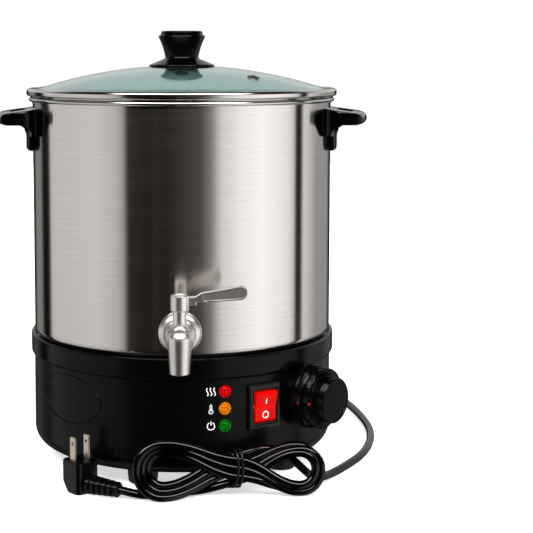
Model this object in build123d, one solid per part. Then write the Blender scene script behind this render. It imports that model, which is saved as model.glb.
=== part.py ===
from build123d import *
import os
from math import cos, pi, radians, sin, sqrt, tan

# A ten-litre electric wax melter: a brushed steel tank on a black heating base, with a glass lid,
# a lever tap, a dial thermostat, a rocker switch, three lamps and a tied mains lead.
# Millimetres. +Z is up and -Y is the front. The origin is on the tank's axis, on the standing
# surface. An azimuth is in degrees round the axis, from the front towards +X.

# Tank and lid
TANK_R = 125.0
TANK_WALL = 1.0
TANK_BOTTOM_Z = 104.0
TANK_CORNER_R = 7.0
RIM_Z = 302.2
RIM_BEAD_R = 1.75
RIM_REACH = 128.0
LID_R = 130.0
LID_BAND_Z = 303.5
LID_BAND_TOP_Z = 309.5
LID_FLANGE_R = 122.0
DOME_R = 386.0
DOME_TOP_Z = 328.3
GLASS_T = 3.5
GLASS_EDGE_R = 125.5
VENT_AZ = 44.0
VENT_RADIUS = 83.0
KNOB_FLANGE_R = 27.4
KNOB_NECK_R = 14.0
KNOB_GRIP_R = 19.6
KNOB_TOP_Z = 357.1

# Heating parts under the tank
PLATE_R = 88.0
PLATE_T = 4.0
ELEMENT_R = 3.75
ELEMENT_RING_R = 66.0
ELEMENT_Z = TANK_BOTTOM_Z - 5.6
ELEMENT_GAP_AZ = 15.0
STUD_COUNT = 3
STUD_RING_R = 40.0
STUD_R = 2.5
SHIELD_R = 102.0
SHIELD_Z = 84.0
BULB_R = 2.6

# Base
BASE_R = 125.5
BASE_WALL = 2.5
BASE_BOTTOM_Z = 12.7
BASE_CORNER_R = 13.0
BASE_TOP_Z = 88.2
LIP_R = 124.9
COLLAR_R = 128.0
COLLAR_BOTTOM_Z = 88.5
COLLAR_TOP_Z = 105.5
LEDGE_Z = 101.5
LEDGE_T = 3.0
LEDGE_BORE_R = 106.0
COVER_R = 99.0
COVER_Z = 11.1
COVER_T = 1.6
FOOT_RING_R = 100.0
FOOT_R = 12.5
FOOT_COUNT = 5
FOOT_START_AZ = -18.0
COVER_SCREW_RING_R = 88.0
COVER_SCREW_AZ = 18.0
COVER_SCREW_COUNT = 3

# Controls on the base, by azimuth and height
LAMP_AZ = 15.4
LAMP_Z = {"red": 78.9, "amber": 65.4, "green": 51.9}
LAMP_R = 4.8
SWITCH_AZ = 30.5
SWITCH_Z = 64.2
SWITCH_W = 28.8
SWITCH_H = 35.7
SWITCH_LAND = 126.4
BEZEL_T = 2.2
ROCKER_W = 18.8
ROCKER_REACH = 12.4
ROCKER_TILT = 7.0
ROCKER_PIN_R = 1.5
DIAL_AZ = 49.4
DIAL_Z = 66.5
DIAL_BEZEL_R = 25.0
DIAL_SKIRT_R = 24.0
DIAL_GRIP_R = 18.0
DIAL_FACE = 159.7
DIAL_MARK_AT = 180.0
PAD_AZ = -46.0
PAD_Z = 65.0
PAD_W = 70.0
PAD_H = 39.0

# Tap
TAP_X = -1.0
TAP_Z = 125.7
FLANGE_R = 16.65
TAIL_BORE = 7.5
SEAL_T = 1.2
SPOUT_Y = -165.0
SPOUT_TIP_Z = 102.8
SPOUT_TIP_R = 7.65
SPOUT_TOP_R = 9.25
VALVE_Y = -157.0
BALL_R = 7.4
STEM_R = 3.0
STEM_FOOT = 5.6
COLLAR_TAP_R = 6.85
LEVER_Z = 148.6
LEVER_TOP_Z = 160.3
LEVER_TIP_X = 49.3

# Side handles
HANDLE_REACH = 155.2
HANDLE_HALF_AZ = 25.6
HANDLE_W = 108.0
TONGUE_W = 77.0
HANDLE_BOTTOM_Z = 280.5
HANDLE_ROOT_Z = 293.7
HANDLE_TIP_Z = 290.2
TONGUE_Z = 258.4
TONGUE_R = 130.5
FINGER_IN_R = 131.8
FINGER_OUT_R = 144.0
FINGER_HALF_AZ = 15.5
HANDLE_SCREW_AZ = (-7.0, 7.0)
HANDLE_SCREW_Z = 266.0

# Mains lead
CORD_D = 6.5
GLAND_AZ = 164.0
GLAND_Z = 30.0
GLAND_END = 158.0
TIE_AT = (43.0, -135.3, 22.6)
HANK_YAW = 4.4
HANK_LEAN = 12.0
HANK_DEPTH = 14.0
HANK_LEFT = (-58.5, 0.0, 23.0)
HANK_RIGHT = (47.0, -2.0, 20.9)
HANK_BAND = 12.5
BUNDLE_HALF = 13.0
PLUG_AT = (-78.9, -118.7)
PLUG_TURN = 38.8
PLUG_L = 22.8
PLUG_W = 20.4
PLUG_TOP_Z = 25.0
BLADE_GAP = 12.7
BLADE_H = 18.5
RELIEF_FROM = (-72.0, -128.0, 8.3)
RELIEF_TO = (-47.0, -139.5, 7.0)

# The lead from its sleeve to the hank, and from the hank to the plug's sleeve
LEAD = [
    (43.55, 151.88, 30.0),
    (50.4, 175.9, 30.0),
    (65.8, 193.6, 21.5),
    (85.7, 202.1, 9.0),
    (110.1, 201.2, 3.6),
    (132.2, 189.5, 3.4),
    (147.5, 168.5, 3.4),
    (157.0, 137.0, 3.4),
    (164.0, 96.0, 3.4),
    (168.0, 50.0, 3.4),
    (164.0, 6.0, 3.4),
    (152.0, -35.0, 3.4),
    (134.0, -68.0, 3.4),
    (114.0, -94.0, 3.4),
    (100.0, -120.0, 9.0),
    (88.0, -134.0, 22.0),
]
TAIL = [
    (-10.0, -146.5, 3.8),
    (-22.0, -144.0, 3.4),
    (-35.0, -141.5, 4.6),
    RELIEF_TO,
]

FLOOR_CLEAR = 0.2
GAP = 0.3
RUN_FIT = 0.05


def turned(outline):
    """A full turn about Z of a closed outline drawn as (radius, height)."""
    return revolve(Plane.XZ * make_face(outline), Axis.Z)


def ring(points):
    """A full revolve about Z of a closed outline of (radius, height) points."""
    return turned(Polyline(*points, close=True))


def tube_z(radius, bore, low, high):
    """An upright tube on the tank's axis."""
    return ring([(bore, low), (radius, low), (radius, high), (bore, high)])


def drum(radius, low, high):
    """An upright cylinder on the tank's axis."""
    body = Cylinder(radius, high - low, align=(Align.CENTER, Align.CENTER, Align.MIN))
    return Pos(0, 0, low) * body


def spot(azimuth, radius, z):
    """A place at an azimuth, whose local Z points outward, X to the right and Y up."""
    a = radians(azimuth)
    out = Vector(sin(a), -cos(a), 0)
    return Location(Plane(out * radius + Vector(0, 0, z), (cos(a), sin(a), 0), out))


def peg(radius, low, high, place):
    """A cylinder between two distances from the tank's axis, along a spot's outward line."""
    body = Cylinder(radius, high - low, align=(Align.CENTER, Align.CENTER, Align.MIN))
    return place * Pos(0, 0, low) * body


def joined(pieces):
    """One node that holds several separate or touching solids."""
    return Compound(children=[s for p in pieces for s in p.solids()])


def polar(count, start, radius, z=0.0):
    """Evenly spaced places round the axis, upright."""
    step = 360.0 / count
    angles = [radians(start + i * step) for i in range(count)]
    return [Pos(radius * sin(a), -radius * cos(a), z) for a in angles]


def cap_radius(half_width, rise):
    """Radius of the round cap with this half width and rise."""
    return (half_width**2 + rise**2) / (2 * rise)


def dome_z(radius, sphere):
    """Height of the lid's dome over a distance from the axis."""
    return DOME_TOP_Z - DOME_R + sqrt(sphere**2 - radius**2)


# ---------------------------------------------------------------- base

def base_housing():
    """Moulded shell with a rounded lower edge, a floor ring, bosses and the control cut-outs."""
    r = BASE_R
    c = BASE_CORNER_R
    w = BASE_WALL
    low = BASE_BOTTOM_Z
    floor_r = 86.0
    outer = [
        Line((floor_r, low), (r - c, low)),
        RadiusArc((r - c, low), (r, low + c), -c),
        Line((r, low + c), (r, BASE_TOP_Z)),
        Line((r, BASE_TOP_Z), (LIP_R, BASE_TOP_Z)),
        Line((LIP_R, BASE_TOP_Z), (LIP_R, LEDGE_Z - LEDGE_T - 0.2)),
        Line((LIP_R, LEDGE_Z - LEDGE_T - 0.2), (r - w, LEDGE_Z - LEDGE_T - 0.2)),
        Line((r - w, LEDGE_Z - LEDGE_T - 0.2), (r - w, low + c)),
        RadiusArc((r - w, low + c), (r - c, low + w), c - w),
        Line((r - c, low + w), (floor_r, low + w)),
        Line((floor_r, low + w), (floor_r, low)),
    ]
    body = turned(Wire(outer))
    land = spot(SWITCH_AZ, 0, SWITCH_Z) * Pos(0, 0, 121.5) * extrude(
        RectangleRounded(SWITCH_W + 1.0, SWITCH_H + 1.0, 2.0), SWITCH_LAND - 121.5
    )
    body += land - drum(BASE_R - 1.5, 0, BASE_TOP_Z)
    for place in polar(FOOT_COUNT, FOOT_START_AZ, FOOT_RING_R, low + w):
        body += place * Cylinder(6.5, 9.0, align=(Align.CENTER, Align.CENTER, Align.MIN))
    for place in polar(FOOT_COUNT, FOOT_START_AZ, FOOT_RING_R, low - 1.0):
        body -= place * Cylinder(1.7, 11.0, align=(Align.CENTER, Align.CENTER, Align.MIN))
    for place in polar(COVER_SCREW_COUNT, COVER_SCREW_AZ, COVER_SCREW_RING_R, low + w):
        body += place * Cylinder(4.5, 8.0, align=(Align.CENTER, Align.CENTER, Align.MIN))
    for place in polar(COVER_SCREW_COUNT, COVER_SCREW_AZ, COVER_SCREW_RING_R, low - 1.0):
        body -= place * Cylinder(1.45, 10.0, align=(Align.CENTER, Align.CENTER, Align.MIN))
    for z in LAMP_Z.values():
        body -= peg(3.95, 115, 130, spot(LAMP_AZ, 0, z))
    window = spot(SWITCH_AZ, 0, SWITCH_Z) * Pos(0, 0, 112) * extrude(Rectangle(25.6, 31.6), 20)
    body -= window
    body -= peg(5.1, 112, 130, spot(DIAL_AZ, 0, DIAL_Z))
    body -= peg(6.1, 112, 130, spot(GLAND_AZ, 0, GLAND_Z))
    return body - pad_groove()


def pad_groove():
    """The shallow groove round the bare oval panel on the left of the base."""
    place = spot(PAD_AZ, 0, PAD_Z)
    oval = Ellipse(PAD_W / 2, PAD_H / 2) - Ellipse(PAD_W / 2 - 0.9, PAD_H / 2 - 0.9)
    cutter = place * Pos(0, 0, 100) * extrude(oval, 40)
    return cutter - drum(BASE_R - 0.6, 0, BASE_TOP_Z)


def collar_ring():
    """The black ring that clamps the tank to the base, with an inner ledge and a rounded edge."""
    r = COLLAR_R
    low = COLLAR_BOTTOM_Z
    e = 2.4
    outline = [
        Line((LIP_R + 0.2, low), (r - e, low)),
        RadiusArc((r - e, low), (r, low + e), -e),
        Line((r, low + e), (r, COLLAR_TOP_Z - 1.0)),
        RadiusArc((r, COLLAR_TOP_Z - 1.0), (r - 1.0, COLLAR_TOP_Z), -1.0),
        Line((r - 1.0, COLLAR_TOP_Z), (TANK_R + 0.15, COLLAR_TOP_Z)),
        Line((TANK_R + 0.15, COLLAR_TOP_Z), (TANK_R + 0.15, LEDGE_Z)),
        Line((TANK_R + 0.15, LEDGE_Z), (LEDGE_BORE_R, LEDGE_Z)),
        Line((LEDGE_BORE_R, LEDGE_Z), (LEDGE_BORE_R, LEDGE_Z - LEDGE_T)),
        Line((LEDGE_BORE_R, LEDGE_Z - LEDGE_T), (LIP_R + 0.2, LEDGE_Z - LEDGE_T)),
        Line((LIP_R + 0.2, LEDGE_Z - LEDGE_T), (LIP_R + 0.2, low)),
    ]
    return turned(Wire(outline))


def bottom_cover():
    """Pressed plate under the base with a raised middle, vent slots, and bays where the feet stand."""
    t = COVER_T
    rim_z = COVER_Z + t
    step = 1.5
    step_r = 78.0
    plate = ring([
        (0, COVER_Z + step), (step_r - step, COVER_Z + step), (step_r, COVER_Z), (COVER_R - 1.0, COVER_Z),
        (COVER_R, COVER_Z + 1.0), (COVER_R, rim_z), (step_r + 0.7, rim_z),
        (step_r + 0.7 - step, rim_z + step), (0, rim_z + step),
    ])
    for place in polar(COVER_SCREW_COUNT, COVER_SCREW_AZ, COVER_SCREW_RING_R, COVER_Z - 1.0):
        plate -= place * Cylinder(2.0, 6.0, align=(Align.CENTER, Align.CENTER, Align.MIN))
    for place in polar(FOOT_COUNT, FOOT_START_AZ, FOOT_RING_R, COVER_Z - 1.0):
        plate -= place * Cylinder(FOOT_R + 0.6, 6.0, align=(Align.CENTER, Align.CENTER, Align.MIN))
    slots = 16
    for i in range(slots):
        slot = extrude(SlotOverall(22.0, 3.0), 8.0)
        plate -= Rot(0, 0, i * 360.0 / slots) * Pos(46.0, 0, COVER_Z - 2.0) * slot
    return plate


def rubber_feet():
    """Five round feet with a recess for the screw head."""
    profile = Polyline(
        (2.2, 5.0), (5.2, 5.0), (5.2, 0), (FOOT_R - 2.0, 0), (FOOT_R - 0.9, 1.1),
        (FOOT_R, BASE_BOTTOM_Z - 0.8), (FOOT_R - 0.8, BASE_BOTTOM_Z), (2.2, BASE_BOTTOM_Z),
        close=True,
    )
    foot = turned(profile)
    return joined([p * foot for p in polar(FOOT_COUNT, FOOT_START_AZ, FOOT_RING_R)])


def pan_screw(shank_r, length, head_r, head_h):
    """A pan-head screw that points up, with its head's top face at z = 0 and a cross recess."""
    profile = Polyline(
        (0, 0), (head_r - 0.8, 0), (head_r, 0.9), (head_r, head_h), (shank_r, head_h),
        (shank_r, head_h + length - 0.8), (shank_r - 0.8, head_h + length), (0, head_h + length),
        close=True,
    )
    body = turned(profile)
    cross = extrude(Rectangle(head_r * 1.1, 0.9) + Rectangle(0.9, head_r * 1.1), 1.1)
    return body - cross


def foot_screws():
    """The screws that hold the feet to the base."""
    screw = pan_screw(1.6, 14.0, 4.2, 2.6)
    return joined([p * screw for p in polar(FOOT_COUNT, FOOT_START_AZ, FOOT_RING_R, 2.4)])


def cover_screws():
    """The screws that hold the bottom cover."""
    screw = pan_screw(1.4, 10.0, 3.4, 2.0)
    place = polar(COVER_SCREW_COUNT, COVER_SCREW_AZ, COVER_SCREW_RING_R, COVER_Z - 2.0)
    return joined([p * screw for p in place])


# ---------------------------------------------------------------- tank and heating

def tank():
    """Deep-drawn steel tank with a rounded bottom edge, a rolled rim and a tap hole."""
    r = TANK_R
    t = TANK_WALL
    c = TANK_CORNER_R
    low = TANK_BOTTOM_Z
    top = RIM_Z - RIM_BEAD_R
    outline = [
        Line((0, low), (r - c, low)),
        RadiusArc((r - c, low), (r, low + c), -c),
        Line((r, low + c), (r, top)),
        Line((r, top), (r - t, top)),
        Line((r - t, top), (r - t, low + c)),
        RadiusArc((r - t, low + c), (r - c, low + t), c - t),
        Line((r - c, low + t), (0, low + t)),
        Line((0, low + t), (0, low)),
    ]
    body = turned(Wire(outline))
    bead = Pos(0, 0, top) * Torus(RIM_REACH - RIM_BEAD_R, RIM_BEAD_R)
    body += bead
    body += tube_z(r + 0.5, r - 0.2, 297.6, 298.6)
    hole = Pos(TAP_X, -r, TAP_Z) * Rot(90, 0, 0) * Cylinder(7.9, 12.0)
    body -= hole
    for side in (-1, 1):
        for azimuth in HANDLE_SCREW_AZ:
            body -= peg(2.15, 120, 130, spot(side * 90 + azimuth, 0, HANDLE_SCREW_Z))
    return body


def tank_gasket():
    """Flat silicone ring between the tank's bottom and the collar's ledge."""
    return tube_z(117.5, LEDGE_BORE_R + 1.0, LEDGE_Z, TANK_BOTTOM_Z)


def heat_plate():
    """Aluminium plate brazed under the tank, with a groove that seats the heating tube."""
    plate = drum(PLATE_R, TANK_BOTTOM_Z - PLATE_T, TANK_BOTTOM_Z)
    groove = Pos(0, 0, ELEMENT_Z) * Torus(ELEMENT_RING_R, ELEMENT_R + 0.1)
    return plate - groove


def heating_element():
    """Sheathed heating tube bent into an open ring, with its two cold ends turned down."""
    start = Vector(ELEMENT_RING_R, 0, ELEMENT_Z)
    section = Plane(start, z_dir=(0, 1, 0)) * Circle(ELEMENT_R)
    arc = 360.0 - 2 * ELEMENT_GAP_AZ
    loop = Rot(0, 0, ELEMENT_GAP_AZ + 90.0) * revolve(section, Axis.Z, arc)
    pieces = loop
    for side in (-1, 1):
        a = radians(90.0 + side * ELEMENT_GAP_AZ)
        x = ELEMENT_RING_R * cos(a)
        y = ELEMENT_RING_R * sin(a)
        pieces += Pos(x, y, ELEMENT_Z) * Sphere(ELEMENT_R)
        pieces += Pos(x, y, ELEMENT_Z - 9.0) * Cylinder(ELEMENT_R, 18.0)
        pieces += Pos(x, y, ELEMENT_Z - 22.0) * Cylinder(1.6, 8.0)
    return pieces


def heat_shield():
    """Spun steel dish that hangs below the heat plate on its studs."""
    t = 0.8
    z = SHIELD_Z
    r = SHIELD_R
    slope = 6.0
    dish = ring([
        (0, z), (r - slope, z), (r, z + slope), (r, z + 2 * slope), (r - t, z + 2 * slope),
        (r - t, z + slope + 0.4), (r - slope - 0.4, z + t), (0, z + t),
    ])
    for place in polar(STUD_COUNT, 60.0, STUD_RING_R, z - 1.0):
        dish -= place * Cylinder(STUD_R + 0.2, 4.0, align=(Align.CENTER, Align.CENTER, Align.MIN))
    for side in (-1, 1):
        a = radians(90.0 + side * ELEMENT_GAP_AZ)
        dish -= Pos(ELEMENT_RING_R * cos(a), ELEMENT_RING_R * sin(a), z) * Cylinder(5.0, 6.0)
    dish -= Pos(0, 0, z) * Cylinder(9.5, 6.0)
    return dish


def tank_studs():
    """Weld studs under the heat plate."""
    stud = drum(STUD_R, SHIELD_Z - 6.0, TANK_BOTTOM_Z - PLATE_T)
    return joined([p * stud for p in polar(STUD_COUNT, 60.0, STUD_RING_R)])


def stud_nuts():
    """Hexagon nuts that hold the heat shield on its studs."""
    nut_h = 4.0
    nut = extrude(RegularPolygon(4.6, 6) - Circle(STUD_R + RUN_FIT), nut_h)
    return joined([p * nut for p in polar(STUD_COUNT, 60.0, STUD_RING_R, SHIELD_Z - nut_h)])


def thermal_cutout():
    """Button thermostat that opens the circuit if the tank boils dry."""
    z = TANK_BOTTOM_Z - PLATE_T
    body = drum(8.0, z - 11.0, z - 4.0) + drum(9.2, z - 4.0, z - 3.0) + drum(7.0, z - 3.0, z)
    for side in (-1, 1):
        body += Pos(side * 4.5, 0, z - 15.0) * Box(0.8, 6.3, 8.5)
    return body


def thermostat_bulb():
    """Sensing bulb of the thermostat, held under the heat plate."""
    z = TANK_BOTTOM_Z - PLATE_T - BULB_R - 0.4
    return Pos(0, -47.0, z) * Rot(0, 90, 0) * Cylinder(BULB_R, 44.0)


# ---------------------------------------------------------------- thermostat and dial

def thermostat_body():
    """Thermostat behind the panel, with a threaded bush through the base's wall."""
    place = spot(DIAL_AZ, 0, DIAL_Z)
    box = place * Pos(0, 0, 95) * extrude(RectangleRounded(36.0, 32.0, 3.0), 17.0)
    box += place * Pos(0, 0, 112) * extrude(RectangleRounded(28.0, 24.0, 2.0), 2.0)
    bush = peg(4.9, 113, 131, place)
    body = box + bush
    for x in (-11.0, 0.0, 11.0):
        body += place * Pos(x, 0, 90.5) * Box(6.3, 0.8, 9.0)
    return body - peg(STEM_R + RUN_FIT, 101, 140, place)


def thermostat_nut():
    """Ring nut that clamps the thermostat to the wall, under the dial's bezel."""
    nut = extrude(RegularPolygon(7.6, 6) - Circle(4.95), 2.6)
    return spot(DIAL_AZ, 0, DIAL_Z) * Pos(0, 0, BASE_R + 0.15) * nut


def dial_bezel():
    """Stepped fixed ring round the dial, with a saddle back that hugs the base."""
    place = spot(DIAL_AZ, 0, DIAL_Z)
    profile = Polyline(
        (11.0, 118.0), (20.6, 118.0), (20.6, 132.0), (DIAL_BEZEL_R - 0.4, 133.4),
        (DIAL_BEZEL_R + 0.5, 134.4), (DIAL_BEZEL_R + 0.5, 136.6), (DIAL_BEZEL_R, 137.2),
        (DIAL_BEZEL_R, 142.2), (DIAL_BEZEL_R - 1.3, 143.5), (22.2, 143.5), (22.2, 142.3),
        (11.0, 142.3),
        close=True,
    )
    body = place * turned(profile)
    return body - drum(BASE_R + 0.05, 0, BASE_TOP_Z + 20.0)


def dial_knob():
    """Dial with a wide skirt, a step and a round grip with a recessed face and a D-shaped hole."""
    place = spot(DIAL_AZ, 0, DIAL_Z)
    f = DIAL_FACE
    g = DIAL_GRIP_R
    s = DIAL_SKIRT_R
    outline = Polyline(
        (0, 146.5), (9.0, 146.5), (9.0, 144.6), (11.0, 144.6), (11.0, 146.5),
        (s - 2.2, 146.5), (s - 2.2, 144.6), (s - 0.6, 144.6), (s, 145.2), (s, 149.0),
        (s - 0.7, 149.6), (21.2, 149.6), (21.0, 151.0), (g - 0.4, 151.2),
        (g, 158.9), (g - 0.8, f), (g - 1.9, f), (g - 2.3, f - 0.5), (0, f - 0.5),
        close=True,
    )
    body = place * turned(outline)
    return body - place * Pos(0, 0, 140) * extrude(d_section(STEM_R + RUN_FIT), 15.7)


def d_section(radius):
    """A round section with one flat, as on a dial's shaft."""
    flat = Pos(0, radius + 0.5 * radius) * Rectangle(4 * radius, 2 * radius)
    return Circle(radius) - Pos(0, radius * 0.05) * flat


def thermostat_shaft():
    """Steel shaft of the thermostat, with a flat for the dial."""
    place = spot(DIAL_AZ, 0, DIAL_Z)
    shaft = peg(STEM_R, 102.0, 144.0, place)
    shaft += place * Pos(0, 0, 144.0) * extrude(d_section(STEM_R), 11.4)
    return shaft


def dial_marker():
    """Red pointer dot on the dial's skirt, at the off position."""
    turn = Rot(0, 0, DIAL_MARK_AT)
    dot = Cylinder(1.0, 0.4, align=(Align.CENTER, Align.CENTER, Align.MIN))
    return spot(DIAL_AZ, 0, DIAL_Z) * turn * Pos(22.25, 0, 149.6) * dot


def index_mark():
    """Red off mark on the side of the fixed ring."""
    turn = Rot(0, 0, DIAL_MARK_AT)
    dot = Pos(DIAL_BEZEL_R, 0, 141.0) * Rot(0, 90, 0) * Cylinder(1.0, 0.7)
    return spot(DIAL_AZ, 0, DIAL_Z) * turn * dot - dial_bezel()


# ---------------------------------------------------------------- switch and lamps

def switch_frame():
    """The switch's pivot: its local Z points outward and its X is the rocker's axis."""
    return spot(SWITCH_AZ, 0, SWITCH_Z) * Pos(0, 0, SWITCH_LAND + BEZEL_T - 2.0)


def switch_body():
    """Switch case with a framed bezel, snap ribs and a window for the rocker."""
    f = BEZEL_T - 0.2
    place = switch_frame()
    plate = Pos(0, 0, 2.0 - BEZEL_T) * extrude(RectangleRounded(SWITCH_W, SWITCH_H, 1.6), BEZEL_T - 0.7)
    plate += Pos(0, 0, 2.0 - 0.7) * extrude(RectangleRounded(SWITCH_W - 1.6, SWITCH_H - 1.6, 1.2), 0.7)
    case = Pos(0, 0, -f - 20.0) * extrude(Rectangle(25.0, 31.0), 20.0 + f)
    body = plate + case
    recess = 1.2
    step = 2.6
    window_w = ROCKER_W + 0.8
    window_h = 2 * ROCKER_REACH + 1.5
    body -= Pos(0, 0, -12.0) * extrude(Rectangle(window_w, window_h), 20.0)
    body -= Pos(0, 0, 2.0 - recess) * extrude(RectangleRounded(window_w + step, window_h + step, 1.0), recess)
    body -= Rot(0, 90, 0) * Cylinder(ROCKER_PIN_R + RUN_FIT, ROCKER_W + 3.4)
    return place * body


def switch_rocker():
    """Red rocker with a V-shaped face, bevelled ends and two pivot pins."""
    reach = ROCKER_REACH
    lift = 2.5
    slope = tan(radians(ROCKER_TILT))
    bevel = 2.2
    bevel_drop = 1.6
    half = [
        (reach - bevel, lift + (reach - bevel) * slope), (reach, lift + reach * slope - bevel_drop),
        (reach - 0.3, 0.6), (reach - 1.4, -5.5), (3.0, -9.5),
    ]
    mirrored = [(-y, z) for y, z in reversed(half)]
    side = Polyline((0, lift), *half, *mirrored, close=True)
    face = Plane((-ROCKER_W / 2, 0, 0), x_dir=(0, 1, 0), z_dir=(1, 0, 0)) * make_face(side)
    body = extrude(face, ROCKER_W)
    body += Rot(0, 90, 0) * Cylinder(ROCKER_PIN_R, ROCKER_W + 2.8)
    return switch_frame() * Rot(ROCKER_TILT, 0, 0) * body


def switch_terminals():
    """Four blade terminals at the back of the switch."""
    blades = []
    for x in (-6.0, 6.0):
        for y in (-7.0, 7.0):
            blades.append(switch_frame() * Pos(x, y, -28.0) * Box(0.8, 4.8, 12.0))
    return joined(blades)


def lamp_lens(z):
    """Domed lens of an indicator lamp, with a shank through the base's wall."""
    r = LAMP_R
    place = spot(LAMP_AZ, 0, z)
    outline = [
        Line((0, 117.0), (3.8, 117.0)),
        Line((3.8, 117.0), (3.8, BASE_R + 0.1)),
        Line((3.8, BASE_R + 0.1), (r, BASE_R + 0.1)),
        Line((r, BASE_R + 0.1), (r, BASE_R + 1.2)),
        RadiusArc((r, BASE_R + 1.2), (0, BASE_R + 4.0), -cap_radius(r, 2.8)),
        Line((0, BASE_R + 4.0), (0, 117.0)),
    ]
    return place * turned(Wire(outline))


def lamp_holders():
    """Neon lamp sockets behind the three lenses."""
    sockets = []
    for z in LAMP_Z.values():
        place = spot(LAMP_AZ, 0, z)
        socket = peg(5.2, 104.0, 116.9, place)
        for x in (-2.2, 2.2):
            socket += place * Pos(x, 0, 100.0) * Box(0.7, 2.8, 9.0)
        sockets.append(socket)
    return joined(sockets)


def terminal_block():
    """Five-way terminal block for the mains wires, on the base's floor."""
    block = Pos(0, 103.0, BASE_BOTTOM_Z + BASE_WALL + 7.0) * Box(44.0, 16.0, 14.0)
    for i in range(5):
        x = (i - 2) * 8.4
        z = BASE_BOTTOM_Z + BASE_WALL + 14.0
        block -= Pos(x, 99.5, z) * Cylinder(2.4, 8.0)
        block -= Pos(x, 106.5, z) * Cylinder(2.4, 8.0)
    return block


# ---------------------------------------------------------------- tap

def lathe_y(points, x, y, z):
    """A revolve about a line that points forward; points are (radius, distance forward)."""
    return Pos(x, y, z) * Rot(90, 0, 0) * ring(points)


def lathe_z(points, x, y):
    """A revolve about an upright line through (x, y); points are (radius, height)."""
    return Pos(x, y, 0) * ring(points)


def tap_body():
    """Cast tap: threaded tail, barrel, ball chamber, stem neck and a tapered spout."""
    tail = lathe_y([(0, -9.0), (7.4, -9.0), (7.4, 8.0), (0, 8.0)], TAP_X, -TANK_R, TAP_Z)
    barrel = lathe_y(
        [(0, 6.4), (11.6, 6.4), (11.2, 12.0), (10.4, 20.0), (10.4, 30.0), (8.5, 36.5), (0, 39.0)],
        TAP_X, -TANK_R, TAP_Z,
    )
    chamber = Pos(TAP_X, VALVE_Y, TAP_Z + 0.6) * Sphere(10.6)
    neck_top = LEVER_Z - GAP
    neck = turned(Wire([
        Line((0, TAP_Z), (9.4, TAP_Z)),
        Line((9.4, TAP_Z), (9.4, TAP_Z + 5.5)),
        RadiusArc((9.4, TAP_Z + 5.5), (5.2, TAP_Z + 15.0), 14.0),
        Line((5.2, TAP_Z + 15.0), (5.2, neck_top)),
        Line((5.2, neck_top), (0, neck_top)),
        Line((0, neck_top), (0, TAP_Z)),
    ]))
    neck = Pos(TAP_X, VALVE_Y, 0) * neck
    tip = SPOUT_TIP_R
    spout_z = TAP_Z + 5.0
    spout = turned(Wire([
        Line((0, SPOUT_TIP_Z), (tip - 0.5, SPOUT_TIP_Z)),
        Line((tip - 0.5, SPOUT_TIP_Z), (tip, SPOUT_TIP_Z + 0.5)),
        Line((tip, SPOUT_TIP_Z + 0.5), (SPOUT_TOP_R, spout_z - 2.0)),
        RadiusArc((SPOUT_TOP_R, spout_z - 2.0), (0, spout_z + 7.0), -cap_radius(SPOUT_TOP_R, 9.0)),
        Line((0, spout_z + 7.0), (0, SPOUT_TIP_Z)),
    ]))
    spout = Pos(TAP_X, SPOUT_Y, 0) * spout
    body = tail + barrel + chamber + neck + spout
    body -= lathe_y([(0, -10.0), (5.5, -10.0), (5.5, 24.0), (0, 24.0)], TAP_X, -TANK_R, TAP_Z)
    body -= Pos(TAP_X, VALVE_Y, TAP_Z) * Sphere(BALL_R + GAP)
    body -= lathe_y([(0, 24.0), (4.5, 24.0), (4.5, 42.0), (0, 42.0)], TAP_X, -TANK_R, TAP_Z)
    low = SPOUT_TIP_Z - 1.0
    body -= lathe_z([(0, low), (5.9, low), (5.9, TAP_Z - 4.0), (4.5, TAP_Z), (0, TAP_Z)], TAP_X, SPOUT_Y)
    body -= lathe_z([(0, TAP_Z), (STEM_R + RUN_FIT, TAP_Z), (STEM_R + RUN_FIT, 150.0), (0, 150.0)],
                    TAP_X, VALVE_Y)
    return body


def tap_flange():
    """Polished, domed cover flange between the tap and the tank, whose back hugs the tank."""
    bore = TAIL_BORE
    edge = 2.4
    crown = 6.3
    crown_r = 12.0
    disc = turned(Wire([
        Line((bore, -4.0), (FLANGE_R, -4.0)),
        Line((FLANGE_R, -4.0), (FLANGE_R, edge)),
        RadiusArc((FLANGE_R, edge), (crown_r, crown), -7.5),
        Line((crown_r, crown), (bore, crown)),
        Line((bore, crown), (bore, -4.0)),
    ]))
    return Pos(TAP_X, -TANK_R, TAP_Z) * Rot(90, 0, 0) * disc - drum(TANK_R + SEAL_T + 0.1, 0, 200.0)


def tap_seals():
    """Silicone seals on both faces of the tank's wall."""
    tall = 200.0
    wide = FLANGE_R - 2.0
    outer = lathe_y([(TAIL_BORE, -4.0), (wide, -4.0), (wide, 4.0), (TAIL_BORE, 4.0)], TAP_X, -TANK_R, TAP_Z)
    outer = (outer & drum(TANK_R + SEAL_T + 0.05, 0, tall)) - drum(TANK_R + 0.05, 0, tall)
    inner = lathe_y([(TAIL_BORE, -6.0), (11.5, -6.0), (11.5, 0.0), (TAIL_BORE, 0.0)], TAP_X, -TANK_R, TAP_Z)
    inner = inner & drum(TANK_R - TANK_WALL - 0.05, 0, tall)
    inner = inner - drum(TANK_R - TANK_WALL - 1.6, 0, tall)
    return joined([outer, inner])


def tap_nut():
    """Hexagon nut on the tap's tail, inside the tank."""
    nut = extrude(RegularPolygon(12.4, 6) - Circle(TAIL_BORE), 5.5)
    return Pos(TAP_X, -TANK_R + TANK_WALL + 2.7, TAP_Z) * Rot(-90, 0, 0) * nut


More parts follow.
